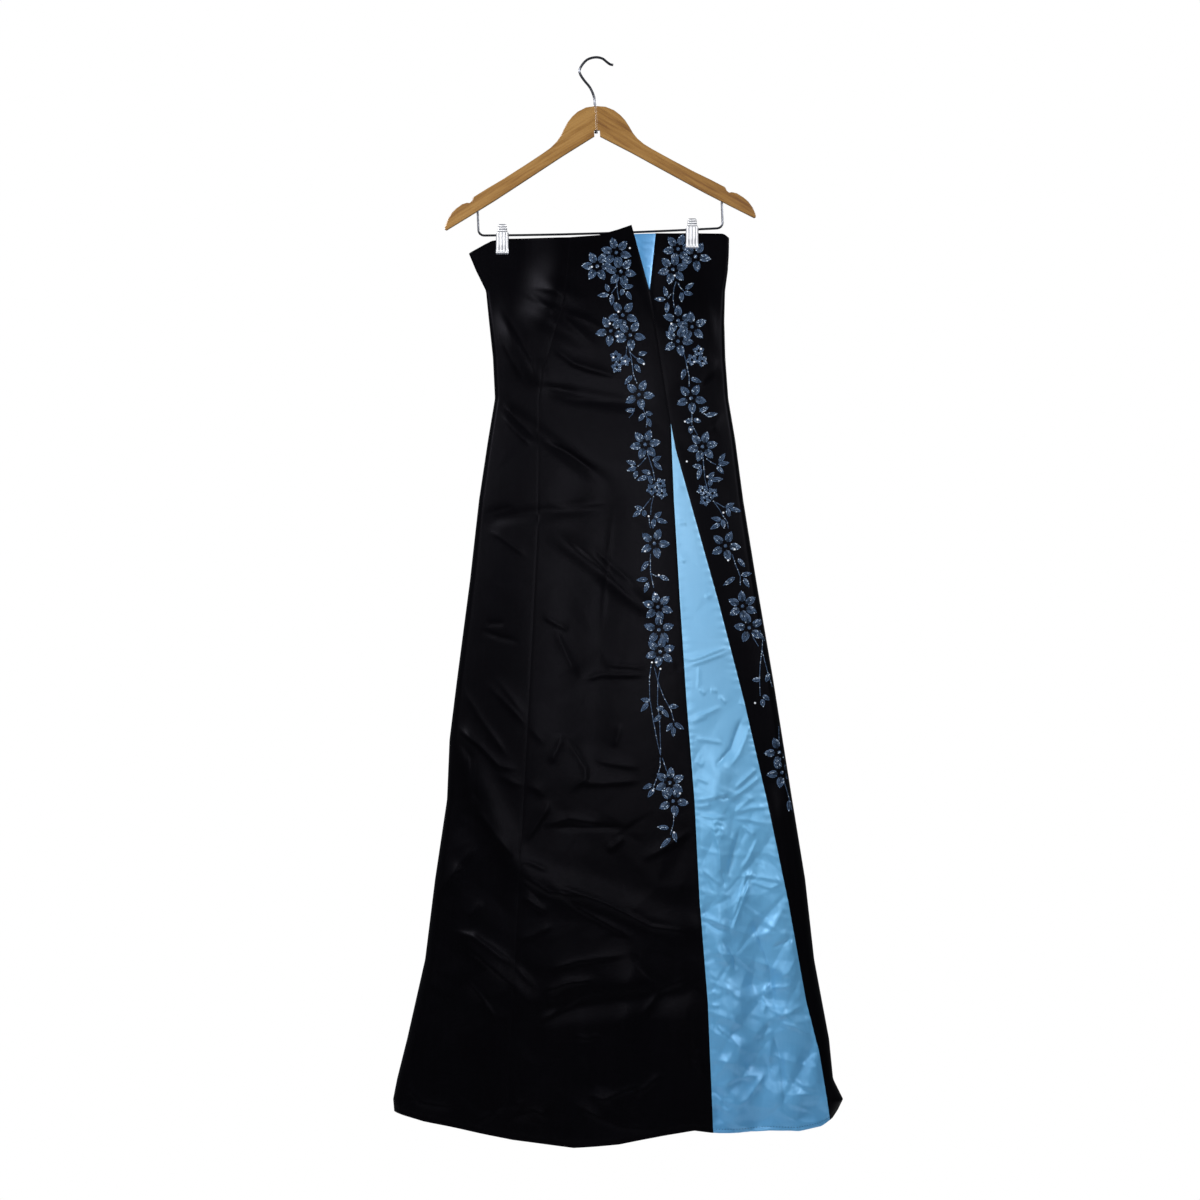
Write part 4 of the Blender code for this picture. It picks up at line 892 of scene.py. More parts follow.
def rounded_shell(outer, normal, thickness, rounded=(1, 1)):
    """Points and faces of a thin sheet from a grid of outer points; rims are round or straight."""
    padded = np.pad(outer, ((1, 1), (1, 1), (0, 0)), mode="edge")
    turned = np.pad(normal, ((1, 1), (1, 1), (0, 0)), mode="edge")
    for axis in (0, 1):
        grid = np.moveaxis(padded, axis, 0)
        for rim, first, second in ((0, 1, 2), (-1, -2, -3)):
            out = grid[first] - grid[second]
            out = out / np.maximum(np.linalg.norm(out, axis=-1, keepdims=True), 1e-9)
            grid[rim] = grid[rim] + out * thickness / 2 * rounded[axis]
    ring = np.ones(padded.shape[:2], bool)
    ring[1:-1, 1:-1] = False
    padded[ring] -= turned[ring] * thickness / 2
    index = np.arange(ring.size).reshape(ring.shape)
    inside = index.copy()
    inside[1:-1, 1:-1] = ring.size + np.arange(outer.shape[0] * outer.shape[1]).reshape(
        outer.shape[:2])
    points = np.concatenate([padded.reshape(-1, 3), (outer - normal * thickness).reshape(-1, 3)])
    return points, np.concatenate([quads(index), quads(inside)[:, ::-1]])


def grid_area(points):
    """Area of a grid of points, both triangles of each cell."""
    a, b, c, d = points[:-1, :-1], points[:-1, 1:], points[1:, 1:], points[1:, :-1]
    halves = np.cross(b - a, c - a), np.cross(c - a, d - a)
    return sum(float(np.linalg.norm(half, axis=-1).sum()) / 2 for half in halves)


# Cloth panels


def cloth_panel(node, cloth, left_edge, right_edge, neck, bottom, columns, material, seams):
    """One finer panel in place of its solid. Returns the object and its cut: the widest row,
    the longest column and the area."""
    share = np.linspace(0, 1, columns)[:, None]

    def q_of(drop):
        return (1 - share) * left_edge(drop) + share * right_edge(drop)

    level = np.zeros_like(share)
    top = level + neck if isinstance(neck, float) else edge_drop(neck, q_of, level + NECK_GUESS)
    end = (level + bottom if isinstance(bottom, float)
           else edge_drop(bottom, q_of, level + HEM_GUESS))
    rows = int(round(float((end - top).max()) / ROW_STEPS[cloth])) + 1
    drop = top + (end - top) * np.linspace(0, 1, rows)[None, :]
    q = q_of(drop)
    outer = surface(cloth, q, drop, seams)
    normal = outward(cloth, q, drop, seams)
    points, faces = rounded_shell(outer, normal, THICKNESS, rounded=(0, 1))
    if cloth == "back":
        faces = faces[:, ::-1]
    name = node + "_satin"
    thing = new_object(name, mesh_of(name, points, faces), material)
    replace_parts(thing, node)
    across = np.linalg.norm(np.diff(outer, axis=0), axis=-1).sum(axis=0).max()
    down = np.linalg.norm(np.diff(outer, axis=1), axis=-1).sum(axis=1).max()
    return thing, (float(across), float(down), grid_area(outer))


def hem_stitches(name, seams, material):
    """A row of thread above the blue hem, from one of its two seams to the other."""
    shares = np.linspace(STITCH_MARGIN, 1 - STITCH_MARGIN, STITCHES * 2)

    def q_of(drop):
        return (1 - shares) * seam(seams[0], 1)(drop) + shares * seam(seams[1], -1)(drop)

    drops = edge_drop(HEM, q_of, shares * 0 + HEM_GUESS) - HEM_DEPTH
    q = q_of(drops)
    normal = outward("blue", q, drops, seams)
    points = surface("blue", q, drops, seams) + normal * STITCH_LIFT
    ends = []
    for start, end in zip(points[0::2], points[1::2]):
        middle, half = (start + end) / 2, (end - start) * STITCH_HALF
        ends.append((middle - half, middle + half))
    return threads(name, ends, STITCH_RADIUS, material)


def threads(name, ends, radius, material):
    """Short straight threads with pointed tips, as one mesh."""
    points, faces = [], []
    for start, end in ends:
        along = unit(end - start)
        side = unit(np.cross(along, (0, 1, 0)))
        up = np.cross(side, along)
        tip = (end - start) * THREAD_TIP
        base = len(points)
        points.append(start)
        for place in (start + tip, end - tip):
            for angle in np.linspace(0, 2 * math.pi, THREAD_SIDES, endpoint=False):
                points.append(place + radius * (side * math.cos(angle) + up * math.sin(angle)))
        points.append(end)
        first, second, last = base + 1, base + 1 + THREAD_SIDES, base + 1 + 2 * THREAD_SIDES
        for k in range(THREAD_SIDES):
            after = (k + 1) % THREAD_SIDES
            faces.append((base, first + after, first + k))
            faces.append((first + k, first + after, second + after, second + k))
            faces.append((last, second + k, second + after))
    return new_object(name, mesh_of(name, np.array(points), faces), material)


# Beaded vines


def bead_template():
    """A low dome of the unit sphere, as points and faces."""
    points = [(0, 0, 1)]
    for latitude in BEAD_RINGS:
        height, reach = math.sin(math.radians(latitude)), math.cos(math.radians(latitude))
        for k in range(BEAD_SIDES):
            angle = 2 * math.pi * (k + latitude * BEAD_TWIST) / BEAD_SIDES
            points.append((reach * math.cos(angle), reach * math.sin(angle), height))
    faces = [(0, 1 + k, 1 + (k + 1) % BEAD_SIDES) for k in range(BEAD_SIDES)]
    for ring in range(len(BEAD_RINGS) - 1):
        upper, lower = 1 + ring * BEAD_SIDES, 1 + (ring + 1) * BEAD_SIDES
        for k in range(BEAD_SIDES):
            after = (k + 1) % BEAD_SIDES
            faces.append((upper + k, lower + k, lower + after, upper + after))
    return np.array(points), faces


def on_petal(origin, angle, along, across=0.0):
    """The plan place that lies this far along a petal and across it."""
    cos, sin = math.cos(angle), math.sin(angle)
    return origin[0] + along * cos - across * sin, origin[1] - along * sin - across * cos


def petal_width(share):
    """Half width of a petal or leaf along its length, as a share of its full width."""
    return PETAL_GAIN * share**PETAL_RISE * (1 - share) ** PETAL_FALL


def petal_beads(origin, angle, start, length, width):
    """Plan places of the beads that fill one petal; a large one keeps a dark vein at its base."""
    veined = length == PETAL_LENGTH
    places = []
    rows = max(3, int(round(length / BEAD_PITCH)))
    for row in range(rows):
        share = (row + 0.5) / rows
        half = float(petal_width(share)) * width - BEAD_MARGIN
        count = max(1, int(2 * half / BEAD_PITCH) + 1)
        for across in (np.linspace(-half, half, count) if count > 1 else (0.0,)):
            if veined and abs(across) < VEIN_HALF * (1 - share / VEIN_SHARE):
                continue
            places.append(on_petal(origin, angle, start + share * length, across))
    return places


def within_petal(petal, places, border):
    """Which plan places lie inside this petal's outline, or within its border."""
    origin, angle, start, length, width = petal
    cos, sin = math.cos(angle), math.sin(angle)
    x, drop = places[:, 0] - origin[0], places[:, 1] - origin[1]
    along, across = x * cos - drop * sin, -x * sin - drop * cos
    share = np.clip((along - start) / length, 0, 1)
    in_length = np.abs(along - start - length / 2) < length / 2 + border / 2
    return in_length & (np.abs(across) < petal_width(share) * width + border)


def petal_patch(origin, angle, start, length, width):
    """Plan places and heights of the thread that lies under one petal's beads."""
    places, heights = [], []
    for row in np.linspace(0.0, 1.0, PATCH_ROWS):
        half = float(petal_width(row)) * width
        for across in np.linspace(-half, half, PATCH_COLUMNS):
            places.append(on_petal(origin, angle, start + row * length, across))
            dome = math.sin(math.pi * row) * (1 - (across / max(half, 1e-6)) ** 2)
            heights.append(dome if half > 1e-4 else 0.0)
    return places, heights


def vine(name, flowers, rosettes, stems, leaves, material, seams):
    """One vine's thread patches and beads, as a single mesh with a tone for each bead."""
    beads, petals = [], []
    for fx, fy, count, first in flowers:
        centre = from_chart((fx, fy))
        for k in range(count):
            angle = math.radians(first + 360 * k / count)
            petals.append((centre, angle, PETAL_START, PETAL_LENGTH, PETAL_WIDTH))
        beads.append((*centre, CENTRE_BEAD_RADIUS, BEAD_LIFT))
        for k in range(RING_BEADS):
            place = on_petal(centre, math.radians(first + 360 / RING_BEADS * k), CENTRE_RING)
            beads.append((*place, RING_BEAD_RADIUS, RING_LIFT))
    for fx, fy in rosettes:
        centre = from_chart((fx, fy))
        for k in range(ROSETTE_PETALS):
            turn = ROSETTE_FIRST + fx * ROSETTE_DRIFT + 360 / ROSETTE_PETALS * k
            angle = math.radians(turn)
            petals.append((centre, angle, ROSETTE_START, ROSETTE_LENGTH, ROSETTE_WIDTH))
    for lx, ly, turn, length in leaves:
        reach = length * CHART_STEP * LEAF_STRETCH
        petals.append((from_chart((lx, ly)), math.radians(turn), -reach / 2, reach, LEAF_WIDTH))
    for stem in stems:
        path = from_chart(stem)
        runs = np.concatenate([[0], np.cumsum(np.linalg.norm(np.diff(path, axis=0), axis=1))])
        for at in np.arange(0, runs[-1], STEM_BEAD_PITCH):
            beads.append((np.interp(at, runs, path[:, 0]), np.interp(at, runs, path[:, 1]),
                          STEM_BEAD_RADIUS, STEM_LIFT))
    patch_places, patch_heights = [], []
    for number, petal in enumerate(petals):
        places = np.array(petal_beads(*petal))
        clear = np.ones(len(places), bool)
        for above in petals[number + 1:]:
            clear &= ~within_petal(above, places, PETAL_BORDER)
        beads += [(*place, BEAD_RADIUS, BEAD_LIFT) for place in places[clear]]
        places, heights = petal_patch(*petal)
        patch_places += places
        patch_heights += heights
    beads = np.array(beads)
    beads = beads[section("right", beads[:, 1]) - beads[:, 0] > BEAD_INSET]
    patch_points = lifted(np.array(patch_places),
                          PATCH_LIFT + PATCH_DOME * np.array(patch_heights), seams)
    index = np.arange(PATCH_ROWS * PATCH_COLUMNS).reshape(PATCH_ROWS, PATCH_COLUMNS)
    patch_faces = np.concatenate([quads(index)[:, ::-1] + index.size * k
                                  for k in range(len(petals))])
    bead_points, bead_faces, tones = bead_field(beads, len(patch_points), seams)
    mesh = mesh_of(name, np.concatenate([patch_points, bead_points]),
                   list(map(tuple, patch_faces)) + bead_faces)
    tone = mesh.attributes.new("tone", "FLOAT", "POINT")
    tone.data.foreach_set("value", np.concatenate([np.zeros(len(patch_points)), tones]))
    return new_object(name, mesh, material)


def lifted(places, lift, seams):
    """Points over the black front at these plan places, raised from the cloth."""
    drop = places[:, 1]
    x = np.minimum(places[:, 0], section("right", drop) - BEAD_INSET)
    q = q_at(x, drop)
    normal = outward("black", q, drop, seams)
    return surface("black", q, drop, seams) + normal * np.asarray(lift)[:, None]


def bead_field(beads, first, seams):
    """Points, faces and tones of all the beads: rows of x, drop, radius, lift."""
    template, template_faces = bead_template()
    x, drop, radius, lift = beads.T
    q = q_at(x, drop)
    normal = outward("black", q, drop, seams)
    centre = surface("black", q, drop, seams) + normal * lift[:, None]
    side = unit(np.cross(normal, (0, 0, 1)))
    up = np.cross(side, normal)
    local = template[None, :, :] * radius[:, None, None]
    points = (centre[:, None, :] + local[..., :1] * side[:, None, :]
              + local[..., 1:2] * up[:, None, :] + local[..., 2:] * normal[:, None, :])
    faces = []
    for k in range(len(beads)):
        base = first + k * len(template)
        faces += [tuple(base + i for i in face) for face in template_faces]
    pick = np.random.default_rng(BEAD_SEED)
    tones = pick.uniform(*BEAD_TONES, len(beads))
    # Painted glints: this share of the beads takes the brightest, near-white tone.
    tones[pick.random(len(beads)) < PAINTED_GLINT_SHARE] = 1.0
    return points.reshape(-1, 3), faces, np.repeat(tones, len(template))


def sequins(name, places, material, seams):
    """Faceted bright stones, each tipped a little its own way."""
    points, faces = [], []
    plan = from_chart(places)
    q = q_at(plan[:, 0], plan[:, 1])
    normals = outward("black", q, plan[:, 1], seams)
    centres = surface("black", q, plan[:, 1], seams) + normals * SEQUIN_LIFT
    pick = np.random.default_rng(SEQUIN_SEED)
    for centre, normal in zip(centres, normals):
        axis = unit(normal + pick.uniform(-SEQUIN_TIP, SEQUIN_TIP, 3))
        side = unit(np.cross(axis, (0, 0, 1)))
        up = np.cross(side, axis)
        base = len(points)
        for reach, height in SEQUIN_PROFILE:
            for angle in np.linspace(0, 2 * math.pi, SEQUIN_SIDES, endpoint=False):
                spoke = side * math.cos(angle) + up * math.sin(angle)
                points.append(centre + SEQUIN_RADIUS * reach * spoke
                              + axis * SEQUIN_HEIGHT * height)
        for ring in range(len(SEQUIN_PROFILE) - 1):
            lower = base + ring * SEQUIN_SIDES
            for k in range(SEQUIN_SIDES):
                after = (k + 1) % SEQUIN_SIDES
                faces.append((lower + k, lower + after, lower + SEQUIN_SIDES + after,
                              lower + SEQUIN_SIDES + k))
        faces.append(tuple(range(len(points) - SEQUIN_SIDES, len(points))))
    thing = new_object(name, mesh_of(name, np.array(points), faces), material)
    thing.data.shade_flat()
    return thing


# Clips


def clip_plate(name, node, side, centre, material):
    """A stamped plate: three ribs across the ear, four flutes down the jaw, teeth below."""
    shares = np.linspace(-1, 1, JAW_ACROSS)[:, None]
    z = np.linspace(JAW["z"][0], JAW["z"][-1], JAW_DOWN)[None, :]
    read = {key: np.interp(-z, -np.array(JAW["z"]), JAW[key]) for key in JAW if key != "z"}
    on_ear = eased(-z, -EAR_BOTTOM, -EAR_BOTTOM + EAR_FADE)
    turns = (EAR_TOP - z) / (EAR_TOP - EAR_BOTTOM) * EAR_RIBS
    ear = EAR_RIB_HEIGHT * (0.5 - 0.5 * np.cos(2 * math.pi * turns)) * on_ear
    on_jaw = (eased(z, FLUTE_TOP, FLUTE_TOP + FLUTE_FADE)
              * eased(-z, -FLUTE_END, -FLUTE_END + FLUTE_FADE))
    waves = 0.5 - 0.5 * np.cos(math.pi * FLUTES * (shares + 1))
    flutes = FLUTE_HEIGHT * waves**FLUTE_POWER * on_jaw
    teeth = np.abs((shares * TEETH) % 2 - 1) * TOOTH_HEIGHT
    bottom = eased(z, JAW_BOTTOM, JAW_BOTTOM + BOTTOM_FADE)
    x = centre[0] + shares * read["half_width"]
    y = read["y"] - read["edge_turn"] * np.abs(shares) ** 6 + JAW_WALL / 2
    y = y + ear * (1 - np.abs(shares) ** 8) + flutes - BOTTOM_INSET * bottom
    outer = np.stack([x, side * y, centre[1] + z + teeth * bottom], axis=-1)
    normal = np.zeros_like(outer)
    normal[..., 1] = side
    points, faces = rounded_shell(outer, normal, PLATE_WALL)
    if side > 0:
        faces = faces[:, ::-1]
    mesh = mesh_of(name, points, faces)
    # Painted shade: the tone follows the crests, dark in the grooves between ribs and flutes; the
    # toothed bottom is dark too.
    plain = np.where(bottom > BOTTOM_DARK_FROM, DARK_CREST, PLAIN_CREST)
    painted_shade_crest = (ear / EAR_RIB_HEIGHT + flutes / FLUTE_HEIGHT
             + (1 - on_ear) * (1 - on_jaw) * plain)
    painted_shade_crest = np.pad(painted_shade_crest, 1, mode="edge")
    shade = mesh.attributes.new("painted_shade_crest", "FLOAT", "POINT")
    shade.data.foreach_set("value", np.concatenate([painted_shade_crest.ravel(), np.zeros(outer[..., 0].size)]))
    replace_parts(new_object(name, mesh, material), node)


def glue_line(material):
    """The glue in the joint between the two arms, in front of the hook's shank and behind it."""
    points, faces = [], []
    for side in (-1, 1):
        base = len(points)
        for y in (side * GLUE["inner"], side * GLUE["outer"]):
            for x, z in ((-1, "bottom"), (1, "bottom"), (1, "top"), (-1, "top")):
                place = hanger_point(x * GLUE["half_width"], GLUE[z])
                points.append((place[0], y, place[1]))
        faces += [(base, base + 1, base + 2, base + 3), (base + 7, base + 6, base + 5, base + 4)]
        for k in range(4):
            after = (k + 1) % 4
            faces.append((base + k, base + 4 + k, base + 4 + after, base + after))
    new_object("glue_line", mesh_of("glue_line", points, faces), material)


def clip_coil(name, node, centre, material):
    """A close coil of spring wire round the bar."""
    curve = bpy.data.curves.new(name, "CURVE")
    curve.dimensions = "3D"
    curve.bevel_depth = COIL_WIRE
    curve.bevel_resolution = 2
    curve.use_fill_caps = True
    line = curve.splines.new("POLY")
    turns = np.linspace(0, COIL_TURNS * 2 * math.pi, COIL_TURNS * 20)
    line.points.add(len(turns) - 1)
    cos, sin = math.cos(HANGER_TILT), math.sin(HANGER_TILT)
    for point, turn in zip(line.points, turns):
        along = (turn / turns[-1] - 0.5) * (COIL_LENGTH - 2 * COIL_WIRE)
        up = COIL_RADIUS * math.cos(turn)
        point.co = (centre[0] + along * cos - up * sin, COIL_RADIUS * math.sin(turn),
                    centre[1] + along * sin + up * cos, 1)
    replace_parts(new_piece(name, curve, material), node)


# Materials


def add_node(tree, kind, output, inputs, **settings):
    """A new node's output. Each of its inputs takes another node's output or a value."""
    node = tree.nodes.new("ShaderNode" + kind)
    for key, value in settings.items():
        setattr(node, key, value)
    for key, value in inputs.items():
        if isinstance(value, bpy.types.NodeSocket):
            tree.links.new(value, node.inputs[key])
        else:
            node.inputs[key].default_value = value
    return node.outputs[output]


def add_ramp(tree, factor, stops):
    """The colours at these places from 0 to 1, and blends between them."""
    node = tree.nodes.new("ShaderNodeValToRGB")
    elements = node.color_ramp.elements
    while len(elements) < len(stops):
        elements.new(0.5)
    for element, (place, colour) in zip(elements, stops):
        element.position = place
        element.color = (*colour, 1)
    tree.links.new(factor, node.inputs["Fac"])
    return node.outputs["Color"]


class Finish:
    """A material whose nodes are added one at a time."""

    def __init__(self, name):
        self.material = bpy.data.materials.new(name)
        self.material.use_nodes = True
        self.tree = self.material.node_tree
        self.shader = self.tree.nodes["Principled BSDF"]
        self.coordinates = self.add("TexCoord", "Object", {})

    def add(self, kind, output, inputs, **settings):
        return add_node(self.tree, kind, output, inputs, **settings)

    def set(self, **values):
        for key, value in values.items():
            self.shader.inputs[key.replace("_", " ")].default_value = value

    def link(self, output, name):
        self.tree.links.new(output, self.shader.inputs[name])

    def mapped(self, scale=(1, 1, 1), lean=0.0):
        """The object's own place, turned by lean about y and then scaled."""
        inputs = {"Vector": self.coordinates, "Scale": [1 / share for share in scale],
                  "Rotation": (0, lean, 0)}
        return self.add("Mapping", "Vector", inputs, vector_type="TEXTURE")

    def noise(self, vector, scale, detail, roughness=0.5):
        inputs = {"Vector": vector, "Scale": scale, "Detail": detail, "Roughness": roughness}
        return self.add("TexNoise", "Fac", inputs)

    def bands(self, vector, direction, scale):
        inputs = {"Vector": vector, "Scale": scale}
        return self.add("TexWave", "Fac", inputs, bands_direction=direction)

    def height(self, low, high):
        """0 at one height, rising to 1 at the other."""
        z = self.add("SeparateXYZ", "Z", {"Vector": self.coordinates})
        return self.add("MapRange", "Result", {"Value": z, "From Min": low, "From Max": high})

    def points(self, attribute):
        """A value that the mesh keeps for each of its points."""
        return self.add("Attribute", "Fac", {}, attribute_name=attribute)

    def maths(self, operation, first, second):
        return self.add("Math", "Value", {0: first, 1: second}, operation=operation)

    def blend(self, first, second, share):
        """The first value, with this share of the second."""
        return self.maths("ADD", self.maths("MULTIPLY", first, 1 - share),
                          self.maths("MULTIPLY", second, share))

    def colour(self, factor, *stops):
        self.link(add_ramp(self.tree, factor, stops), "Base Color")

    def rough(self, factor, low, high):
        inputs = {"Value": factor, "To Min": low, "To Max": high}
        self.link(self.add("MapRange", "Result", inputs), "Roughness")

    def bump(self, height, distance, strength):
        inputs = {"Height": height, "Distance": distance, "Strength": strength}
        self.link(self.add("Bump", "Normal", inputs), "Normal")


def satin(name, stops, rough, tint=(1.0, 1.0, 1.0), specular=1.0, lustre=0.0, painted_light_share=0.0):
    """Close satin: long floats across, fine yarns down, slow changes of tone, and with
    painted_light_share a painted paleness towards the top.

    specular is one level, or levels with their places from the hem to the neck, which paint the
    sheen by height."""
    finish = Finish(name)
    plain = finish.mapped()
    streaks = finish.noise(finish.mapped(scale=(260, 260, 14)), 1.0, 2.0)
    tone = finish.blend(finish.noise(plain, 9.0, 3.0), streaks, 0.3)
    # Painted light: the tone is blended with height, so the cloth is painted paler towards the
    # top, as if more strongly lit and sheened there.
    if painted_light_share:
        tone = finish.blend(tone, finish.height(-1.55, -0.50), painted_light_share)
    finish.colour(tone, *stops)
    finish.rough(streaks, *rough)
    floats = finish.bands(plain, "Z", 520.0)
    yarns = finish.bands(plain, "X", 380.0)
    weave = finish.maths("MULTIPLY", floats, finish.maths("ADD", yarns, 0.6))
    finish.bump(finish.maths("ADD", weave, streaks), 0.00004, 0.35)
    finish.set(Specular_Tint=(*tint, 1.0), Metallic=lustre)
    if isinstance(specular, tuple):
        # Painted sheen: the specular level follows height, as the light falls, not the cloth.
        sheen = [(place, (level, level, level)) for place, level in specular]
        finish.link(add_ramp(finish.tree, finish.height(-1.57, -0.24), sheen),
                    "Specular IOR Level")
    else:
        finish.set(Specular_IOR_Level=specular)
    return finish.material


def varnished_wood(name, slope):
    """Honey wood under clear varnish, its grain along one arm."""
    finish = Finish(name)
    figure = finish.noise(finish.mapped(scale=(9, 60, 130), lean=-slope), 1.0, 4.0, 0.6)
    pores = finish.noise(finish.mapped(scale=(26, 300, 620), lean=-slope), 1.0, 2.0, 0.6)
    tone = finish.blend(figure, pores, 0.28)
    finish.colour(tone, (0.34, (0.17, 0.070, 0.012)), (0.47, (0.27, 0.130, 0.026)),
                  (0.60, (0.35, 0.185, 0.048)))
    finish.bump(tone, 0.0002, 0.25)
    finish.set(Roughness=0.36, Coat_Weight=0.35, Coat_Roughness=0.18)
    return finish.material


def clip_nickel(name):
    """Bright pressed nickel, with painted shade down in the pressed grooves and darker along the
    toothed bottom.
    """
    finish = Finish(name)
    lines = finish.noise(finish.mapped(scale=(900, 900, 60)), 1.0, 2.0)
    finish.colour(finish.blend(finish.points("painted_shade_crest"), lines, 0.15), (0.12, (0.10, 0.11, 0.14)),
                  (0.34, (0.50, 0.52, 0.56)), (0.55, (0.98, 0.98, 1.0)))
    finish.rough(lines, 0.26, 0.36)
    finish.bump(lines, 0.00002, 0.2)
    finish.set(Metallic=0.30, Specular_IOR_Level=1.0)
    return finish.material


def steel_wire(name):
    """Polished steel wire with faint drawing lines, its colour painted far darker than steel to
    stand for the dark room it reflects.
    """
    finish = Finish(name)
    lines = finish.noise(finish.mapped(scale=(900, 900, 900)), 1.0, 2.0)
    # Painted reflection: the near-black colour stands for the dark surroundings that the wire
    # mirrors.
    finish.colour(lines, (0.3, (0.05, 0.052, 0.06)), (0.7, (0.10, 0.105, 0.12)))
    finish.rough(lines, 0.26, 0.36)
    finish.bump(lines, 0.00002, 0.2)
    finish.set(Metallic=1.0)
    return finish.material


def bead_glass(name):
    """Slate-blue glass beads and thread, each bead with its own tone; the brightest tone is a
    painted glint.
    """
    finish = Finish(name)
    glint = finish.noise(finish.mapped(), 900.0, 1.0)
    finish.colour(finish.blend(finish.points("tone"), glint, 0.15),
                  (0.06, (0.004, 0.007, 0.014)), (0.30, (0.060, 0.108, 0.200)),
                  (0.72, (0.110, 0.185, 0.320)), (0.92, (0.60, 0.74, 0.92)))
    finish.bump(glint, 0.0001, 0.3)
    finish.set(Roughness=0.28, Specular_IOR_Level=0.5, Specular_Tint=(0.55, 0.72, 1.0, 1.0))
    return finish.material


def cut_stone(name):
    """Silvered cut stones."""
    finish = Finish(name)
    cloud = finish.noise(finish.mapped(), 700.0, 1.0)
    finish.colour(cloud, (0.3, (0.80, 0.86, 0.95)), (0.7, (0.97, 0.98, 1.0)))
    finish.rough(cloud, 0.10, 0.22)
    finish.set(Specular_IOR_Level=1.0)
    return finish.material


def lacquered_metal(name):
    """Black lacquer on the zip's slider and pull, rubbed a little."""
    finish = Finish(name)
    rub = finish.noise(finish.mapped(), 420.0, 4.0)
    finish.colour(rub, (0.35, (0.012, 0.012, 0.014)), (0.75, (0.05, 0.05, 0.055)))
    finish.rough(rub, 0.22, 0.42)
    finish.set(Metallic=0.5, Coat_Weight=0.4, Coat_Roughness=0.12)
    return finish.material


# Stage


def make_camera():
    camera = placed("camera", bpy.data.cameras.new("camera"))
    camera.data.sensor_width = SENSOR
    camera.data.lens = SENSOR * (CAMERA_DISTANCE - GOWN_STAND) / FRAME_WIDTH
    camera.location = (FRAME_CENTRE[0], -CAMERA_DISTANCE, FRAME_CENTRE[1])
    camera.rotation_euler = (math.pi / 2, 0, 0)
    bpy.context.scene.camera = camera


def make_world():
    """White behind the gown, and a dimmer studio round it that falls off downwards."""
    world = bpy.data.worlds.new("studio")
    bpy.context.scene.world = world
    world.use_nodes = True
    tree = world.node_tree
    tree.nodes.clear()
    place = add_node(tree, "TexCoord", "Generated", {})
    up = add_node(tree, "SeparateXYZ", "Z", {"Vector": place})
    level = add_node(tree, "MapRange", "Result", {"Value": up, "From Min": -1.0})
    shade = add_ramp(tree, level, ROOM_SHADES)
    room = add_node(tree, "Background", "Background", {"Color": shade, "Strength": 1.0})
    white = add_node(tree, "Background", "Background", {"Color": (1, 1, 1, 1)})
    seen = add_node(tree, "LightPath", "Is Camera Ray", {})
    both = add_node(tree, "MixShader", "Shader", {"Fac": seen, 1: room, 2: white})
    output = tree.nodes.new("ShaderNodeOutputWorld")
    tree.links.new(both, output.inputs["Surface"])


def make_floor():
    angles = np.linspace(0, 2 * math.pi, FLOOR_SIDES, endpoint=False)
    ring = [(FLOOR_RADIUS * math.cos(angle), FLOOR_RADIUS * math.sin(angle), -FLOOR_DROP)
            for angle in angles]
    finish = Finish("floor_paint")
    finish.colour(finish.noise(finish.mapped(), 4.0, 3.0), (0.3, (0.80, 0.80, 0.80)),
                  (0.7, (0.84, 0.84, 0.84)))
    finish.set(Roughness=0.7)
    mesh = mesh_of("floor", ring, [tuple(range(FLOOR_SIDES))])
    mesh.materials.append(finish.material)
    placed("floor", mesh)


def make_lights():
    """Softboxes close by, so the light falls off towards the hem; none shows in a picture."""
    for name, (place, size, power) in SOFTBOXES.items():
        light = bpy.data.lights.new(name, "AREA")
        light.shape = "RECTANGLE"
        light.size = size
        light.size_y = size
        light.energy = power
        thing = placed(name, light)
        thing.location = place
        direction = LIGHTS_AIM - thing.location
        thing.rotation_euler = direction.to_track_quat("-Z", "Y").to_euler()
        thing.visible_camera = False


# Putting it together


# The black's specular levels by height paint its sheen: brightest about the hips, dimmer towards
# the hem and dimmest at the neckline.
black = satin("black_satin_cloth", ((0.30, (0.0005, 0.0004, 0.0007)),
                                    (0.70, (0.0009, 0.0008, 0.0014))), (0.34, 0.40),
              tint=(0.86, 0.84, 1.0),
              specular=((0.05, 0.046), (0.45, 0.066), (0.82, 0.080), (0.97, 0.034)))
# The blue's ramp is read mostly by height: painted light and sheen, paler and whiter towards the
# top, darker towards the hem.
blue = satin("blue_satin_cloth", ((0.10, (0.064, 0.290, 0.57)), (0.42, (0.140, 0.440, 0.74)),
                                  (0.90, (0.255, 0.540, 0.81))), (0.38, 0.45),
             lustre=0.24, painted_light_share=0.7)
# A shaded copy of the blue satin: the insert's deeper blue is painted shade from the bodice edges
# round it.
shaded_insert_blue = satin("blue_insert_painted_shade", ((0.30, (0.060, 0.270, 0.56)),
                                          (0.70, (0.095, 0.345, 0.66))), (0.34, 0.40),
                    lustre=0.26)
thread = satin("blue_sewing_thread", ((0.30, (0.020, 0.085, 0.16)), (0.70, (0.035, 0.12, 0.22))),
               (0.50, 0.60), specular=0.30)
wire = steel_wire("steel_wire")
beads = bead_glass("slate_beads")
stones = cut_stone("cut_stones")
lacquer = lacquered_metal("black_lacquer")
nickel = clip_nickel("bright_nickel")

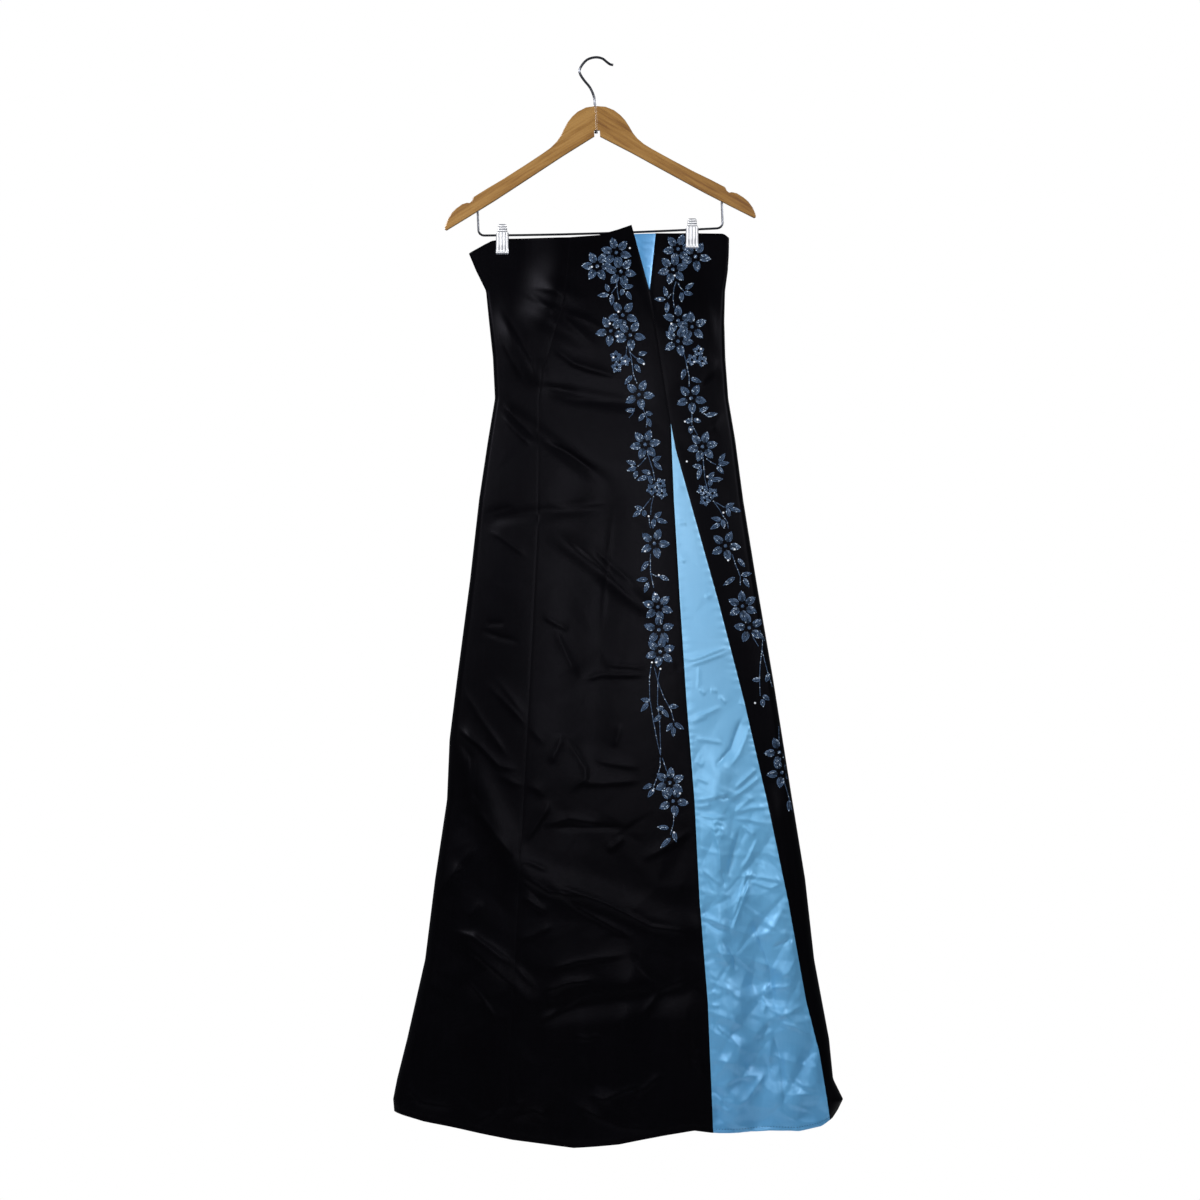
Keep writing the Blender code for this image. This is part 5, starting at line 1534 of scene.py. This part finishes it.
SIDE_SEAMS = (PRINCESS_SEAM,)
CENTRE_SEAMS = (PRINCESS_SEAM, SPLIT_LEFT)
RIGHT_SEAMS = (SPLIT_RIGHT,)
OPENING_SEAMS = (SPLIT_LEFT, SPLIT_RIGHT)
BACK_SEAMS = (CENTRE_BACK,)
for node, cloth, left_edge, right_edge, neck, bottom, columns, material, seams in (
    ("front_side_panel", "black", side_seam(-1), seam(PRINCESS_SEAM, -1), NECK_LEFT, HEM, 64,
     black, SIDE_SEAMS),
    ("front_centre_panel", "black", seam(PRINCESS_SEAM, 1), seam(SPLIT_LEFT, -1), NECK_LEFT,
     HEM, 92, black, CENTRE_SEAMS),
    ("front_right_panel", "black", seam(SPLIT_RIGHT, 1), side_seam(1), NECK_RIGHT, HEM, 44,
     black, RIGHT_SEAMS),
    ("skirt_godet", "blue", seam(SPLIT_LEFT, 1), seam(SPLIT_RIGHT, -1), GODET_TOP, HEM, 92,
     blue, OPENING_SEAMS),
    ("neckline_insert", "blue", seam(SPLIT_LEFT, 1), seam(SPLIT_RIGHT, -1), NECK_INSERT,
     INSERT_BOTTOM, 14, shaded_insert_blue, OPENING_SEAMS),
    ("back_left_panel", "back", side_seam(-1), seam(CENTRE_BACK, -1), NECK_BACK, HEM, 72,
     black, BACK_SEAMS),
    ("back_right_panel", "back", seam(CENTRE_BACK, 1), side_seam(1), NECK_BACK, HEM, 72,
     black, BACK_SEAMS),
):
    cloth_panel(node, cloth, left_edge, right_edge, neck, bottom, columns,
                               material, seams)

hem_thread = hem_stitches("blue_hem_thread", OPENING_SEAMS, thread)
vine_left = vine("vine_left", FLOWERS_LEFT, ROSETTES_LEFT, STEMS_LEFT, LEAVES_LEFT, beads,
                 CENTRE_SEAMS)
vine_right = vine("vine_right", FLOWERS_RIGHT, ROSETTES_RIGHT, STEMS_RIGHT, LEAVES_RIGHT,
                  beads, RIGHT_SEAMS)
stones_left = sequins("stones_left", SEQUINS_LEFT, stones, CENTRE_SEAMS)
stones_right = sequins("stones_right", SEQUINS_RIGHT, stones, RIGHT_SEAMS)

for clip, place in clip_centres().items():
    for word, side in (("front", -1), ("back", 1)):
        clip_plate(f"clip_{clip}_{word}_plate", f"clip_{clip}_{word}_jaw", side, place, nickel)
    clip_coil(f"clip_{clip}_coil", f"clip_{clip}_spring", place, wire)

glue_line(varnished_wood("glued_joint", 0.0))
for node, material in (
    ("hanger_arm_left", varnished_wood("wood_left", ARM_SLOPE)),
    ("hanger_arm_right", varnished_wood("wood_right", -ARM_SLOPE)),
    ("hanger_hook", wire),
    ("hanger_bar", wire),
    ("zip_slider", lacquer),
    ("zip_pull", lacquer),
):
    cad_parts[node].material_slots[0].material = material

bpy.context.scene.view_settings.view_transform = "Standard"
make_camera()
make_world()
make_floor()
make_lights()
